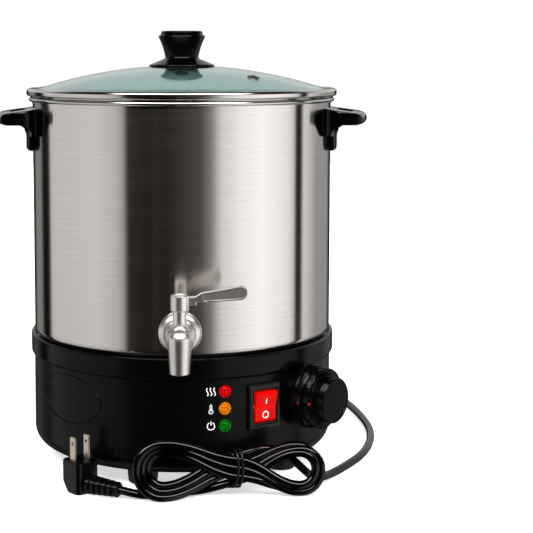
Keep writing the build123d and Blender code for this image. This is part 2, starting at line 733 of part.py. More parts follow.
def tap_ball():
    """Valve ball with a cross bore and a socket for the stem, shown shut."""
    bore = 4.2
    half = sqrt(BALL_R**2 - bore**2)
    ball = turned(Wire([Line((bore, -half), (bore, half)), RadiusArc((bore, half), (bore, -half), BALL_R)]))
    socket = drum(STEM_R + RUN_FIT, STEM_FOOT, STEM_FOOT + 10.0)
    return Pos(TAP_X, VALVE_Y, TAP_Z) * (Rot(0, 90, 0) * ball - socket)


def tap_stem():
    """Stem that turns the ball."""
    low = TAP_Z + STEM_FOOT
    return lathe_z([(0, low), (STEM_R, low), (STEM_R, LEVER_TOP_Z - 2.6), (0, LEVER_TOP_Z - 2.6)],
                   TAP_X, VALVE_Y)


def tap_lever():
    """Lever with a round hub, a stepped arm and a dished paddle that widens to its round end."""
    hub = lathe_z(
        [(STEM_R, LEVER_Z), (COLLAR_TAP_R - 0.5, LEVER_Z), (COLLAR_TAP_R, LEVER_Z + 0.5),
         (COLLAR_TAP_R, LEVER_TOP_Z - 0.5), (COLLAR_TAP_R - 0.5, LEVER_TOP_Z), (5.4, LEVER_TOP_Z),
         (5.0, LEVER_TOP_Z - 0.9), (STEM_R, LEVER_TOP_Z - 0.9)],
        TAP_X, VALVE_Y,
    )
    tip = LEVER_TIP_X
    end_r = 5.4
    side = Polyline(
        (TAP_X + 6.0, 152.6), (TAP_X + 12.4, 152.6), (TAP_X + 12.4, 155.0), (TAP_X + 15.4, 154.9),
        (tip - end_r, 156.6), (tip - end_r, 167.4), (TAP_X + 15.8, 162.2), (TAP_X + 11.4, 159.4),
        (TAP_X + 6.0, 159.2),
        close=True,
    )
    flat = make_face(side) + Pos(tip - end_r, 162.0) * Circle(end_r)
    arm = extrude(Plane((0, VALVE_Y + 1.9, 0), x_dir=(1, 0, 0), z_dir=(0, -1, 0)) * flat, 3.8)
    arm = chamfer(arm.faces().sort_by(Axis.Y)[0].edges(), 0.5)
    body = hub + arm
    hollow = Polyline(
        (TAP_X + 17.4, 156.2), (tip - end_r, 157.8), (tip - end_r, 166.0), (TAP_X + 17.4, 161.3), close=True
    )
    dish = make_face(hollow) + Pos(tip - end_r, 161.9) * Circle(end_r - 1.3)
    body -= extrude(Plane((0, VALVE_Y - 1.5, 0), x_dir=(1, 0, 0), z_dir=(0, -1, 0)) * dish, 2.0)
    return body


def tap_cap_screw():
    """Dished screw in the lever's hub."""
    z = LEVER_TOP_Z
    shank = 2.9
    head = 4.6
    return lathe_z(
        [(0, z - 2.5), (shank, z - 2.5), (shank, z - 0.8), (head, z - 0.8), (head, z - 0.3), (0, z + 0.1)],
        TAP_X, VALVE_Y,
    )


# ---------------------------------------------------------------- lid

def lid_glass():
    """Shallow glass dome with a knob hole and a vent hole."""
    e = GLASS_EDGE_R
    inner = DOME_R - GLASS_T
    outline = [
        RadiusArc((0, DOME_TOP_Z), (e, dome_z(e, DOME_R)), DOME_R),
        Line((e, dome_z(e, DOME_R)), (e, dome_z(e, inner))),
        RadiusArc((e, dome_z(e, inner)), (0, DOME_TOP_Z - GLASS_T), -inner),
        Line((0, DOME_TOP_Z - GLASS_T), (0, DOME_TOP_Z)),
    ]
    glass = turned(Wire(outline))
    glass -= drum(3.6, DOME_TOP_Z - 10.0, DOME_TOP_Z + 5.0)
    return glass - vent_place() * Cylinder(3.6, 12.0)


def vent_place():
    """The vent's place on the dome, with its Z along the glass's normal."""
    a = radians(VENT_AZ)
    tilt = VENT_RADIUS / DOME_R
    out = Vector(sin(a) * tilt, -cos(a) * tilt, sqrt(1 - tilt**2))
    centre = out * DOME_R + Vector(0, 0, DOME_TOP_Z - DOME_R)
    return Location(Plane(centre, z_dir=out))


def lid_rim():
    """Rolled steel band that grips the glass, with a skirt that locates in the tank."""
    top = LID_BAND_TOP_Z
    f = LID_FLANGE_R
    seat = RIM_Z + GAP
    t = 0.8
    e = 1.5
    outline = [
        Line((f, top - t), (f, top)),
        Line((f, top), (LID_R - e, top)),
        RadiusArc((LID_R - e, top), (LID_R, top - e), e),
        Line((LID_R, top - e), (LID_R, LID_BAND_Z + 1.0)),
        RadiusArc((LID_R, LID_BAND_Z + 1.0), (LID_R - 1.0, LID_BAND_Z), 1.0),
        Line((LID_R - 1.0, LID_BAND_Z), (127.4, LID_BAND_Z)),
        Line((127.4, LID_BAND_Z), (127.0, seat)),
        Line((127.0, seat), (123.2, seat)),
        Line((123.2, seat), (123.2, 297.0)),
        Line((123.2, 297.0), (122.4, 297.0)),
        Line((122.4, 297.0), (122.4, seat + t)),
        Line((122.4, seat + t), (GLASS_EDGE_R + 0.6, seat + t)),
        Line((GLASS_EDGE_R + 0.6, seat + t), (GLASS_EDGE_R + 0.6, top - t)),
        Line((GLASS_EDGE_R + 0.6, top - t), (f, top - t)),
    ]
    return turned(Wire(outline))


def lid_vent():
    """Steel eyelet that lets steam out of the lid."""
    half = GLASS_T / 2
    profile = Polyline(
        (1.6, -GLASS_T - 1.0), (4.6, -GLASS_T - 1.0), (4.6, -GLASS_T - 0.1), (3.5, -GLASS_T - 0.1),
        (3.5, 0.1), (5.2, 0.1), (5.0, 0.7), (3.6, 1.2), (2.2, 1.1), (1.6, half - 1.2),
        close=True,
    )
    return vent_place() * turned(profile)


def lid_knob():
    """Moulded knob: a broad flange on the glass, a waist and a flared grip with a chamfered top."""
    n = KNOB_NECK_R
    g = KNOB_GRIP_R
    f = KNOB_FLANGE_R
    under = dome_z(f, DOME_R) + 0.15
    outline = [
        Line((3.0, DOME_TOP_Z + 0.15), (3.0, KNOB_TOP_Z - 8.0)),
        Line((3.0, KNOB_TOP_Z - 8.0), (0, KNOB_TOP_Z - 8.0)),
        Line((0, KNOB_TOP_Z - 8.0), (0, KNOB_TOP_Z)),
        Line((0, KNOB_TOP_Z), (g - 3.4, KNOB_TOP_Z)),
        RadiusArc((g - 3.4, KNOB_TOP_Z), (g - 2.1, KNOB_TOP_Z - 1.3), 1.4),
        Line((g - 2.1, KNOB_TOP_Z - 1.3), (g - 1.8, KNOB_TOP_Z - 3.2)),
        RadiusArc((g - 1.8, KNOB_TOP_Z - 3.2), (g, KNOB_TOP_Z - 4.9), 1.9),
        RadiusArc((g, KNOB_TOP_Z - 4.9), (n, KNOB_TOP_Z - 21.4), -60.0),
        RadiusArc((n, KNOB_TOP_Z - 21.4), (n + 2.0, KNOB_TOP_Z - 23.6), -2.6),
        Line((n + 2.0, KNOB_TOP_Z - 23.6), (f - 0.8, under + 1.7)),
        RadiusArc((f - 0.8, under + 1.7), (f, under), 1.2),
        RadiusArc((f, under), (3.0, DOME_TOP_Z + 0.15), -DOME_R),
    ]
    return turned(Wire(outline))


def lid_knob_washer():
    """Wide steel washer under the glass."""
    z = DOME_TOP_Z - GLASS_T
    return tube_z(10.0, 2.8, z - 1.5, z - 0.3)


def lid_knob_screw():
    """Screw that clamps the knob through the glass."""
    head_z = DOME_TOP_Z - GLASS_T - 1.5
    return Pos(0, 0, head_z - 3.4) * pan_screw(2.5, 24.0, 5.5, 3.4)


# ---------------------------------------------------------------- side handles

def handle_profile():
    """Side view of a handle, in the tank's radius and height, with the tongue's long fillet."""
    r0 = TANK_R + 0.15
    tip = HANDLE_REACH
    low = HANDLE_BOTTOM_Z
    fillet_r = 11.0
    e = 5.0
    half = (TONGUE_R - r0) / 2
    return make_face(Wire([
        Line((r0, TONGUE_Z + half), (r0, HANDLE_ROOT_Z)),
        Line((r0, HANDLE_ROOT_Z), (tip - e, HANDLE_TIP_Z)),
        RadiusArc((tip - e, HANDLE_TIP_Z), (tip, HANDLE_TIP_Z - e), e),
        RadiusArc((tip, HANDLE_TIP_Z - e), (tip - e, low), e),
        Line((tip - e, low), (TONGUE_R + fillet_r, low)),
        RadiusArc((TONGUE_R + fillet_r, low), (TONGUE_R, low - fillet_r), -fillet_r),
        Line((TONGUE_R, low - fillet_r), (TONGUE_R, TONGUE_Z + half)),
        RadiusArc((TONGUE_R, TONGUE_Z + half), (r0, TONGUE_Z + half), half * 1.001),
    ]))


def wedge(half_az, inner, outer, low, high):
    """A block between two azimuths either side of +X and two radii."""
    outline = make_face(Polyline((inner, low), (outer, low), (outer, high), (inner, high), close=True))
    return Rot(0, 0, -half_az) * revolve(Plane.XZ * outline, Axis.Z, 2 * half_az)


def handle(side):
    """One grip: a curved saddle plate on the tank and a rounded loop with a finger opening."""
    half = HANDLE_HALF_AZ
    body = Rot(0, 0, -half) * revolve(Plane.XZ * handle_profile(), Axis.Z, 2 * half)
    plan = Pos(TANK_R + 10.0, 0) * RectangleRounded(2 * (HANDLE_REACH - TANK_R - 10.0), HANDLE_W, 15.0)
    body &= Pos(0, 0, 200.0) * extrude(plan, 200.0)
    body -= wedge(FINGER_HALF_AZ, FINGER_IN_R, FINGER_OUT_R, 240.0, 320.0)
    upper = Pos(0, HANDLE_ROOT_Z - 10.0) * RectangleRounded(HANDLE_W, 26.0, 9.0)
    lower = Pos(0, TONGUE_Z + 15.0) * RectangleRounded(TONGUE_W, 30.0, 7.0)
    front = Plane((100.0, 0, 0), x_dir=(0, 1, 0), z_dir=(1, 0, 0)) * (upper + lower)
    body &= extrude(front, 80.0)
    for azimuth in HANDLE_SCREW_AZ:
        body -= peg(1.75, 120.0, 129.6, spot(90 + azimuth, 0, HANDLE_SCREW_Z))
    return Rot(0, 0, 0 if side > 0 else 180) * body


def handle_screws():
    """Screws that hold both handles, driven from inside the tank."""
    screws = []
    for side in (-1, 1):
        for azimuth in HANDLE_SCREW_AZ:
            place = spot(side * 90 + azimuth, TANK_R - TANK_WALL - 2.6, HANDLE_SCREW_Z)
            screws.append(place * pan_screw(1.6, 5.6, 3.8, 2.4))
    return joined(screws)


# ---------------------------------------------------------------- mains lead

def cord_gland():
    """Moulded strain relief: a grooved collar in the base's wall and a ribbed, tapered sleeve."""
    place = spot(GLAND_AZ, 0, GLAND_Z)
    ribs = 5
    pitch = 5.2
    start = 130.0
    points = [(CORD_D / 2, 119.0), (7.6, 119.0), (7.6, 122.5), (5.9, 122.5), (5.9, 125.8), (8.4, 125.8),
              (8.0, 128.4), (6.4, 128.4)]
    for i in range(ribs):
        z = start + i * pitch
        r = 6.4 - 0.3 * i
        points += [(r, z), (r, z + 3.4), (r - 1.0, z + 3.4), (r - 1.0, z + pitch - 0.2)]
    points += [(4.4, GLAND_END), (CORD_D / 2, GLAND_END)]
    sleeve = ring(points)
    return place * sleeve


def rounded_path(points, share=0.45):
    """Straight runs joined by tangent arcs, each as large as its two runs allow."""
    corners = [Vector(*p) for p in points]
    radii = []
    for a, b, c in zip(corners, corners[1:], corners[2:]):
        turn = (b - a).get_angle(c - b)
        shorter = min((b - a).length, (c - b).length)
        radii.append(share * shorter / tan(radians(turn) / 2))
    return FilletPolyline(*corners, radius=radii), radii


def cord_tube(name, points):
    """A round cord along a route, and a printed note of its arcs, length and volume."""
    path, radii = rounded_path(points)
    section = Plane(path @ 0, z_dir=path % 0) * Circle(CORD_D / 2)
    tube = sweep(section, path=path)
    expected = pi * (CORD_D / 2) ** 2 * path.length
    print(name, "length", round(path.length, 1), "volume ratio", round(tube.volume / expected, 4))
    print(name, "arc radii", [round(r, 1) for r in radii])
    return tube


def cord_lead():
    """The lead from its sleeve round the right side to the hank, cut where it joins the hank."""
    return (cord_tube("cord_lead", LEAD) - cord_hank() - cord_gland()).solids().sort_by(SortBy.VOLUME)[-1]


def cord_tail():
    """The short stretch from the hank to the plug's sleeve."""
    return (cord_tube("cord_tail", TAIL) - cord_hank() - plug_relief()).solids().sort_by(SortBy.VOLUME)[-1]


def hank_plane():
    """The plane of the tied hank: X along it, Y up its lean, and Z out of its front."""
    yaw = radians(HANK_YAW)
    lean = radians(HANK_LEAN)
    along = Vector(cos(yaw), sin(yaw), 0)
    up = Vector(-sin(yaw) * sin(lean), cos(yaw) * sin(lean), cos(lean))
    return Plane(TIE_AT, x_dir=along, z_dir=along.cross(up))


def cord_hank():
    """The tied hank's outer shape: two open drop-shaped loops that meet in a bundle at the tie."""
    flat = Sketch()
    for centre, rise, radius in (HANK_LEFT, HANK_RIGHT):
        side = 1 if centre > 0 else -1
        end = Pos(centre, rise) * Circle(radius)
        neck = Line((0, BUNDLE_HALF), (0, -BUNDLE_HALF))
        hole = Pos(centre, rise) * Circle(radius - HANK_BAND)
        hole_tip = Pos(side * 24.0, 0) * Circle(1.5)
        flat += make_hull([end.edge(), neck]) - make_hull([hole.edge(), hole_tip.edge()])
    body = hank_plane().location * extrude(flat, HANK_DEPTH / 2, both=True)
    return body & Pos(0, 0, FLOOR_CLEAR + 50.0) * Box(500.0, 500.0, 100.0)


def cord_tie():
    """Twisted tie round the hank's middle."""
    depth = HANK_DEPTH + 0.8
    height = 2 * BUNDLE_HALF + 2.0
    band = RectangleRounded(depth + 3.0, height + 3.0, 6.0) - RectangleRounded(depth, height, 0.6)
    return hank_plane().location * Rot(0, 90, 0) * extrude(band, 3.4, both=True)


def plug_place():
    """The plug's own directions: X along the cord's way out, Y across the blades, Z up."""
    a = radians(PLUG_TURN)
    return Plane((*PLUG_AT, 0), x_dir=(sin(a), -cos(a), 0), z_dir=(0, 0, 1)).location


def plug_body():
    """Moulded right-angle plug with a sloped heel and rounded upright edges."""
    half = PLUG_L / 2
    side = Polyline(
        (-half, PLUG_TOP_Z), (-half, 11.5), (-half + 9.5, 0.6), (half, 0.6), (half, PLUG_TOP_Z), close=True
    )
    face = Plane((0, PLUG_W / 2, 0), x_dir=(1, 0, 0), z_dir=(0, -1, 0)) * make_face(side)
    body = extrude(face, PLUG_W)
    plan = RectangleRounded(PLUG_L, PLUG_W, 4.0)
    body &= extrude(plan, PLUG_TOP_Z)
    body = chamfer(body.faces().sort_by(Axis.Z)[-1].edges(), 0.8)
    for s in (-1, 1):
        body -= Pos(0, s * BLADE_GAP / 2, PLUG_TOP_Z - 6.0) * extrude(Rectangle(6.4, 1.55), 8.0)
    return plug_place() * body


def plug_blades():
    """Two flat blades with chamfered ends and a hole each."""
    blades = []
    for s in (-1, 1):
        h = BLADE_H
        side = Polyline(
            (-3.1, -6.0), (3.1, -6.0), (3.1, h - 1.2), (1.9, h), (-1.9, h), (-3.1, h - 1.2), close=True
        )
        flat = make_face(side) - Pos(0, h - 5.0) * Circle(1.6)
        at = Plane((0, s * BLADE_GAP / 2 + 0.75, PLUG_TOP_Z), x_dir=(1, 0, 0), z_dir=(0, -1, 0))
        blades.append(plug_place() * extrude(at * flat, 1.5))
    return joined(blades)


def plug_relief():
    """Ribbed, tapered sleeve where the cord enters the plug."""
    start = Vector(*RELIEF_FROM)
    end = Vector(*RELIEF_TO)
    length = (end - start).length
    along = Plane(start, z_dir=end - start)
    ribs = 5
    pitch = (length - 4.0) / ribs
    points = [(0, 0), (7.4, 0), (7.4, 3.0)]
    for i in range(ribs):
        z = 3.0 + i * pitch
        r = 7.2 - 0.32 * i
        points += [(r - 1.5, z), (r - 1.5, z + 1.3), (r, z + 1.7), (r, z + pitch - 0.3)]
    points += [(4.6, length), (0, length)]
    sleeve = along.location * ring(points)
    return sleeve - plug_body()


# ---------------------------------------------------------------- all nodes

NODES = {
    "base_housing": base_housing,
    "collar_ring": collar_ring,
    "bottom_cover": bottom_cover,
    "rubber_feet": rubber_feet,
    "foot_screws": foot_screws,
    "cover_screws": cover_screws,
    "tank": tank,
    "tank_gasket": tank_gasket,
    "heat_plate": heat_plate,
    "heating_element": heating_element,
    "heat_shield": heat_shield,
    "tank_studs": tank_studs,
    "stud_nuts": stud_nuts,
    "thermal_cutout": thermal_cutout,
    "thermostat_bulb": thermostat_bulb,
    "thermostat_body": thermostat_body,
    "thermostat_nut": thermostat_nut,
    "thermostat_shaft": thermostat_shaft,
    "dial_bezel": dial_bezel,
    "dial_knob": dial_knob,
    "dial_marker": dial_marker,
    "index_mark": index_mark,
    "switch_body": switch_body,
    "switch_rocker": switch_rocker,
    "switch_terminals": switch_terminals,
    "lamp_holders": lamp_holders,
    "terminal_block": terminal_block,
    "tap_body": tap_body,
    "tap_flange": tap_flange,
    "tap_seals": tap_seals,
    "tap_nut": tap_nut,
    "tap_ball": tap_ball,
    "tap_stem": tap_stem,
    "tap_lever": tap_lever,
    "tap_cap_screw": tap_cap_screw,
    "lid_glass": lid_glass,
    "lid_rim": lid_rim,
    "lid_vent": lid_vent,
    "lid_knob": lid_knob,
    "lid_knob_washer": lid_knob_washer,
    "lid_knob_screw": lid_knob_screw,
    "handle_left": lambda: handle(-1),
    "handle_right": lambda: handle(1),
    "handle_screws": handle_screws,
    "cord_gland": cord_gland,
    "cord_lead": cord_lead,
    "cord_hank": cord_hank,
    "cord_tail": cord_tail,
    "cord_tie": cord_tie,
    "plug_body": plug_body,
    "plug_blades": plug_blades,
    "plug_relief": plug_relief,
}
for colour, height in LAMP_Z.items():
    NODES["lamp_" + colour] = lambda z=height: lamp_lens(z)


def main():
    """Build every node and write it as a STEP file."""
    os.makedirs("parts", exist_ok=True)
    for name, build in NODES.items():
        export_step(build(), f"parts/{name}.step")


if __name__ == "__main__":
    main()
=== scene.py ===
import logging
from collections.abc import Callable
from dataclasses import dataclass, field
from enum import Enum
from functools import cache
from math import cos, pi, radians, sin, tau

import bpy
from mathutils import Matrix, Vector


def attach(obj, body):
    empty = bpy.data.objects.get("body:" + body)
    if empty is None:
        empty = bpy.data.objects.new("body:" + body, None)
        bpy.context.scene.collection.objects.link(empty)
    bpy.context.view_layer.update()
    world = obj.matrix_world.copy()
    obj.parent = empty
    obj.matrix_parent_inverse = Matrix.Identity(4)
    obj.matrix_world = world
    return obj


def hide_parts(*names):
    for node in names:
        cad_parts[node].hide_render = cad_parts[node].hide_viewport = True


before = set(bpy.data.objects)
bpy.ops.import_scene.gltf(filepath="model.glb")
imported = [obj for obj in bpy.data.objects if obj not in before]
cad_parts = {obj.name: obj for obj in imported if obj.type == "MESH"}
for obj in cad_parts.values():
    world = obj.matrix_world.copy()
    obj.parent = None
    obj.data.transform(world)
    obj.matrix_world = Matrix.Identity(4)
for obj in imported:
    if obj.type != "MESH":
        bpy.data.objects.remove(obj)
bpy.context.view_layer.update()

# Looks of an electric wax melter of about ten litres: a brushed steel tank on a round black
# heating base, with a domed glass lid, side handles, a lever tap, a dial, a rocker switch, three
# lamps and a tied mains lead. Blender's lengths are metres; sizes below are millimetres times MM.

MM = 0.001
INK_GAP = 0.02  # mm between a face and the ink on it
FLOOR_GAP = 0.1  # mm between the worktop and a cord that lies on it
SMOOTHEST = 0.01  # least roughness that a finish gets
NOISE = {"Detail": 3.0, "Roughness": 0.6}  # how many finer copies a pattern holds, how strong
WHITE = (1.0, 1.0, 1.0, 1.0)
LOG = logging.getLogger("melter")

Socket = bpy.types.NodeSocket
Node = bpy.types.Node
Pairs = tuple[tuple[float, float], ...]
Places = tuple[tuple[float, float, float], ...]
Lay = Callable[[float, float, float], Vector]


class Ray(Enum):
    """Kinds of ray that the studio shows a plain white surround to."""

    CAMERA = "Is Camera Ray"
    THROUGH_GLASS = "Is Transmission Ray"


class Grain(Enum):
    """Directions of a metal's brushed or drawn lines, as stretch factors for X, Y and Z."""

    ROUND = (0.02, 0.02, 1.0)
    UPRIGHT = (1.0, 1.0, 0.03)
    NONE = (1.0, 1.0, 1.0)


# ------------------------------------------------------------------ nodes and colours

MIX = {"data_type": "RGBA"}
MULTIPLY = {"data_type": "RGBA", "blend_type": "MULTIPLY", 0: 1.0}


def linear(hex_colour: str) -> tuple[float, float, float, float]:
    """Turn an sRGB hex colour into linear RGBA.

    Args:
        hex_colour: six hex digits after a hash sign.

    Returns:
        The linear colour with an alpha of 1.
    """
    values = [int(hex_colour[i:i + 2], 16) / 255 for i in (1, 3, 5)]
    rgb = [v / 12.92 if v <= 0.04045 else ((v + 0.055) / 1.055) ** 2.4 for v in values]
    return (rgb[0], rgb[1], rgb[2], 1.0)


def darker(hex_colour: str, share: float) -> tuple[float, float, float, float]:
    """A share of an sRGB hex colour's light, as linear RGBA."""
    return tuple(c * share for c in linear(hex_colour)[:3]) + (1.0,)


def add_node(tree: bpy.types.NodeTree, kind: str, settings: dict | None = None,
             links: dict | None = None) -> Node:
    """Add one node with its settings and links.

    Args:
        tree: the node tree that gets the node.
        kind: the node's type name.
        settings: property names, or input names or numbers, with their values.
        links: input names or numbers, with the sockets that feed them.

    Returns:
        The new node.
    """
    node = tree.nodes.new(kind)
    for key, value in (settings or {}).items():
        if isinstance(key, str) and hasattr(node, key):
            setattr(node, key, value)
        else:
            node.inputs[key].default_value = value
    for key, socket in (links or {}).items():
        tree.links.new(socket, node.inputs[key])
    return node


def fill_ramp(node: Node, stops: list[tuple[float, float]]) -> Node:
    """Give a colour ramp grey stops.

    Args:
        node: a colour ramp node.
        stops: (position, grey) pairs in order of position.

    Returns:
        The same node.
    """
    elements = node.color_ramp.elements
    while len(elements) > 1:
        elements.remove(elements[-1])
    elements[0].position, grey = stops[0]
    elements[0].color = (grey, grey, grey, 1.0)
    for position, grey in stops[1:]:
        elements.new(position).color = (grey, grey, grey, 1.0)
    return node


# ------------------------------------------------------------------ finishes

@dataclass(frozen=True)
class Finish:
    """A surface as its maker would name it.

    Attributes:
        name: real material and process, which names the Blender material.
        colour: sRGB hex of the surface in even light.
        roughness: typical microfacet roughness.
        grain_mm: size of the surface's visible pattern.
        relief_mm: height of that pattern.
        spread: how far roughness varies either side of its typical value.
        grain: direction of that pattern.
    """

    name: str
    colour: str
    roughness: float
    grain_mm: float = 1.0
    relief_mm: float = 0.004
    spread: float = 0.05
    grain: Grain = Grain.NONE

    def shader_settings(self) -> dict:
        """Settings of the shader that hold all over the surface."""
        return {}

    def dapple(self) -> float:
        """How much darker the colour gets in the pattern's low places."""
        return 0.10

    def corner_mm(self) -> float:
        """Radius that the maker's tool leaves on sharp corners."""
        return 0.0

    def pattern(self, tree: bpy.types.NodeTree) -> Socket:
        """Add the fine pattern of the surface, in object space.

        Args:
            tree: the material's nodes.

        Returns:
            The pattern, from 0 to 1.
        """
        place = add_node(tree, "ShaderNodeTexCoord")
        stretch = add_node(tree, "ShaderNodeMapping", {"Scale": self.grain.value},
                           {"Vector": place.outputs["Object"]})
        noise = add_node(tree, "ShaderNodeTexNoise",
                         NOISE | {"Scale": 1.0 / (self.grain_mm * MM)},
                         {"Vector": stretch.outputs["Vector"]})
        return noise.outputs["Fac"]

    def make(self) -> bpy.types.Material:
        """Build the material: one pattern drives colour, roughness and relief.

        Returns:
            The Blender material.
        """
        material = bpy.data.materials.new(self.name)
        material.use_nodes = True
        tree = material.node_tree
        tree.nodes.clear()
        pattern = self.pattern(tree)
        low = darker(self.colour, 1.0 - self.dapple())
        colour = add_node(tree, "ShaderNodeMix", MIX | {6: low, 7: linear(self.colour)},
                          {0: pattern})
        rough = add_node(tree, "ShaderNodeMapRange",
                         {"To Min": max(SMOOTHEST, self.roughness - self.spread),
                          "To Max": self.roughness + self.spread}, {"Value": pattern})
        surface = {"Height": pattern}
        if self.corner_mm():
            corner = add_node(tree, "ShaderNodeBevel",
                              {"samples": 4, "Radius": self.corner_mm() * MM})
            surface["Normal"] = corner.outputs["Normal"]
        relief = add_node(tree, "ShaderNodeBump",
                          {"Strength": 1.0, "Distance": self.relief_mm * MM}, surface)
        shader = add_node(tree, "ShaderNodeBsdfPrincipled", self.shader_settings(),
                          {"Base Color": colour.outputs[2], "Roughness": rough.outputs["Result"],
                           "Normal": relief.outputs["Normal"]})
        self.extras(tree, shader)
        add_node(tree, "ShaderNodeOutputMaterial", links={"Surface": shader.outputs["BSDF"]})
        return material

    def extras(self, tree: bpy.types.NodeTree, shader: Node) -> None:
        """Further nodes of a special finish; a plain one has none."""


@dataclass(frozen=True)
class BrushedMetal(Finish):
    """Metal sheet with fine parallel lines, whose highlights stretch across them.

    Attributes:
        stretch: how far the highlights stretch, from 0 to 1.
    """

    stretch: float = 0.85

    def shader_settings(self) -> dict:
        """Metal whose highlights are turned a quarter round, across the brushing."""
        return {"Metallic": 1.0, "Anisotropic": self.stretch, "Anisotropic Rotation": 0.25}

    def dapple(self) -> float:
        """Brushed lines are plainly darker and lighter than each other."""
        return 0.24

    def extras(self, tree: bpy.types.NodeTree, shader: Node) -> None:
        """Turn the highlight round the tank's axis."""
        tangent = add_node(tree, "ShaderNodeTangent", {"direction_type": "RADIAL", "axis": "Z"})
        tree.links.new(tangent.outputs["Tangent"], shader.inputs["Tangent"])


@dataclass(frozen=True)
class Metal(Finish):
    """Plain metal, such as plated, turned or cast.

    Attributes:
        corner: radius of its broken corners.
    """

    corner: float = 0.0

    def shader_settings(self) -> dict:
        """Metal all over."""
        return {"Metallic": 1.0}

    def corner_mm(self) -> float:
        """Corners are broken by tumbling or polishing."""
        return self.corner


@dataclass(frozen=True)
class Moulded(Finish):
    """Opaque moulded plastic or rubber.

    Attributes:
        specular: shader's specular level, 0.5 for most plastics.
        corner: radius of its moulded corners.
    """

    specular: float = 0.5
    corner: float = 0.0

    def shader_settings(self) -> dict:
        """Dielectric all over."""
        return {"IOR": 1.5, "Specular IOR Level": self.specular}

    def dapple(self) -> float:
        """Pigment varies slightly."""
        return 0.2

    def corner_mm(self) -> float:
        """Corners are as round as the mould's."""
        return self.corner


@dataclass(frozen=True)
class ClearGlass(Finish):
    """Tempered soda-lime glass with a faint green body colour."""

    def shader_settings(self) -> dict:
        """Clear, with glass's usual index."""
        return {"IOR": 1.5, "Transmission Weight": 1.0}

    def dapple(self) -> float:
        """Even colour."""
        return 0.02


@dataclass(frozen=True)
class GlowingLens(Finish):
    """Faceted polycarbonate lens of a neon lamp, lit from behind; the rocker uses it for a painted
    glow.

    Attributes:
        glow: sRGB hex of the light inside; on the rocker, of its painted glow.
        strength: how strongly it glows.
        edge_glow: share of the glow that is left between facets.
        facet_reach: a facet's middle, as distance from its edges in facet sizes.
    """

    glow: str = "#FFFFFF"
    strength: float = 0.6
    edge_glow: float = 0.25
    facet_reach: float = 0.45

    def shader_settings(self) -> dict:
        """Cloudy coloured plastic that glows."""
        return {"IOR": 1.58, "Specular IOR Level": 0.06, "Emission Strength": self.strength}

    def dapple(self) -> float:
        """Facets are lighter in their middles."""
        return 0.55

    def pattern(self, tree: bpy.types.NodeTree) -> Socket:
        """Add small facets, as cells.

        Args:
            tree: the material's nodes.

        Returns:
            The pattern, from 0 at a facet's edge to 1 in its middle.
        """
        place = add_node(tree, "ShaderNodeTexCoord")
        cells = add_node(tree, "ShaderNodeTexVoronoi",
                         {"Scale": 1.0 / (self.grain_mm * MM), "feature": "DISTANCE_TO_EDGE"},
                         {"Vector": place.outputs["Object"]})
        spread = add_node(tree, "ShaderNodeMapRange", {"From Max": self.facet_reach},
                          {"Value": cells.outputs[0]})
        return spread.outputs["Result"]

    def extras(self, tree: bpy.types.NodeTree, shader: Node) -> None:
        """Add the glow, brighter in the facets' middles: a lamp's light, and the rocker's painted
        glow.

        Args:
            tree: the material's nodes.
            shader: the lens's shader.
        """
        edge = darker(self.glow, self.edge_glow)
        glow = add_node(tree, "ShaderNodeMix", MIX | {6: edge, 7: linear(self.glow)},
                        {0: self.pattern(tree)})
        tree.links.new(glow.outputs[2], shader.inputs["Emission Color"])


@dataclass(frozen=True)
class BacklitPaper(Finish):
    """Matt paper with light behind it.

    Attributes:
        strength: how strongly it glows.
    """

    strength: float = 0.5

    def shader_settings(self) -> dict:
        """Dull white that glows evenly."""
        return {"Specular IOR Level": 0.0, "Emission Color": WHITE,
                "Emission Strength": self.strength}


# Real brush lines and mould grain are about 0.1 mm or finer and plated grain is finer still. That
# is too fine to show, so each pattern below 1 mm is drawn as coarse as it needs to show. The
# numbers of a finish are its roughness, its pattern's size and relief in mm, and the roughness's
# spread.

# Brushed 304 sheet: warm grey, with level lines, drawn 0.7 mm apart, that drag reflections into
# upright bands.
TANK_STEEL = BrushedMetal("brushed stainless steel, drawn tank", "#E2DEDA", 0.15, 0.7, 0.0003,
                          0.03, Grain.ROUND)
# Rolled and buffed band: the same steel, nearly a mirror.
RIM_STEEL = BrushedMetal("buffed stainless steel, rolled band", "#DAD8D4", 0.13, 0.6, 0.0006,
                         0.03, Grain.ROUND, stretch=0.4)
# Satin nickel-chrome plate on a cast tap: soft mirror that clouds slightly every 2 mm.
TAP_PLATE = Metal("satin chrome plate on cast brass", "#ECE8E3", 0.33, 2.0, 0.0, 0.04, corner=0.3)
# The lever's sunk panel is blasted before it is plated, so it scatters more light.
LEVER_PANEL = Metal("satin chrome plate, bead blasted", "#9C9A96", 0.5, 0.4, 0.004)
# Zinc plate on steel: pale, slightly blue, small crystals.
ZINC_PLATE = Metal("zinc-plated steel screw", "#B9BDC2", 0.3, 0.8, 0.003, 0.08)
# Rolled aluminium: pale and dull with rolling lines.
ALUMINIUM = Metal("rolled aluminium plate", "#C4C6C8", 0.38, 0.7, 0.003, 0.06, Grain.UPRIGHT)
# Heat-tinted sheath: brown-grey oxide.
SHEATH = Metal("oxidised alloy tube sheath", "#6E6258", 0.45, 1.5, 0.004, 0.1)
# Galvanised sheet: spangled crystals about 6 mm across.
GALVANISED = Metal("galvanised steel sheet", "#A9ACAE", 0.35, 6.0, 0.003, 0.12)
# Drawn copper bulb: reddish, with a soft drawn sheen.
COPPER = Metal("drawn copper tube", "#C98763", 0.3, 1.0, 0.002, 0.06)
# Nickel plate on brass blades: warm and bright, with fine drawing marks.
BLADE_PLATE = Metal("nickel-plated brass blade", "#EBD9C6", 0.34, 0.8, 0.003, 0.06, Grain.UPRIGHT)
# Tinned brass terminals: greyish yellow and dull.
TERMINAL = Metal("tinned brass terminal", "#B8AE90", 0.35, 1.0, 0.003, 0.06)
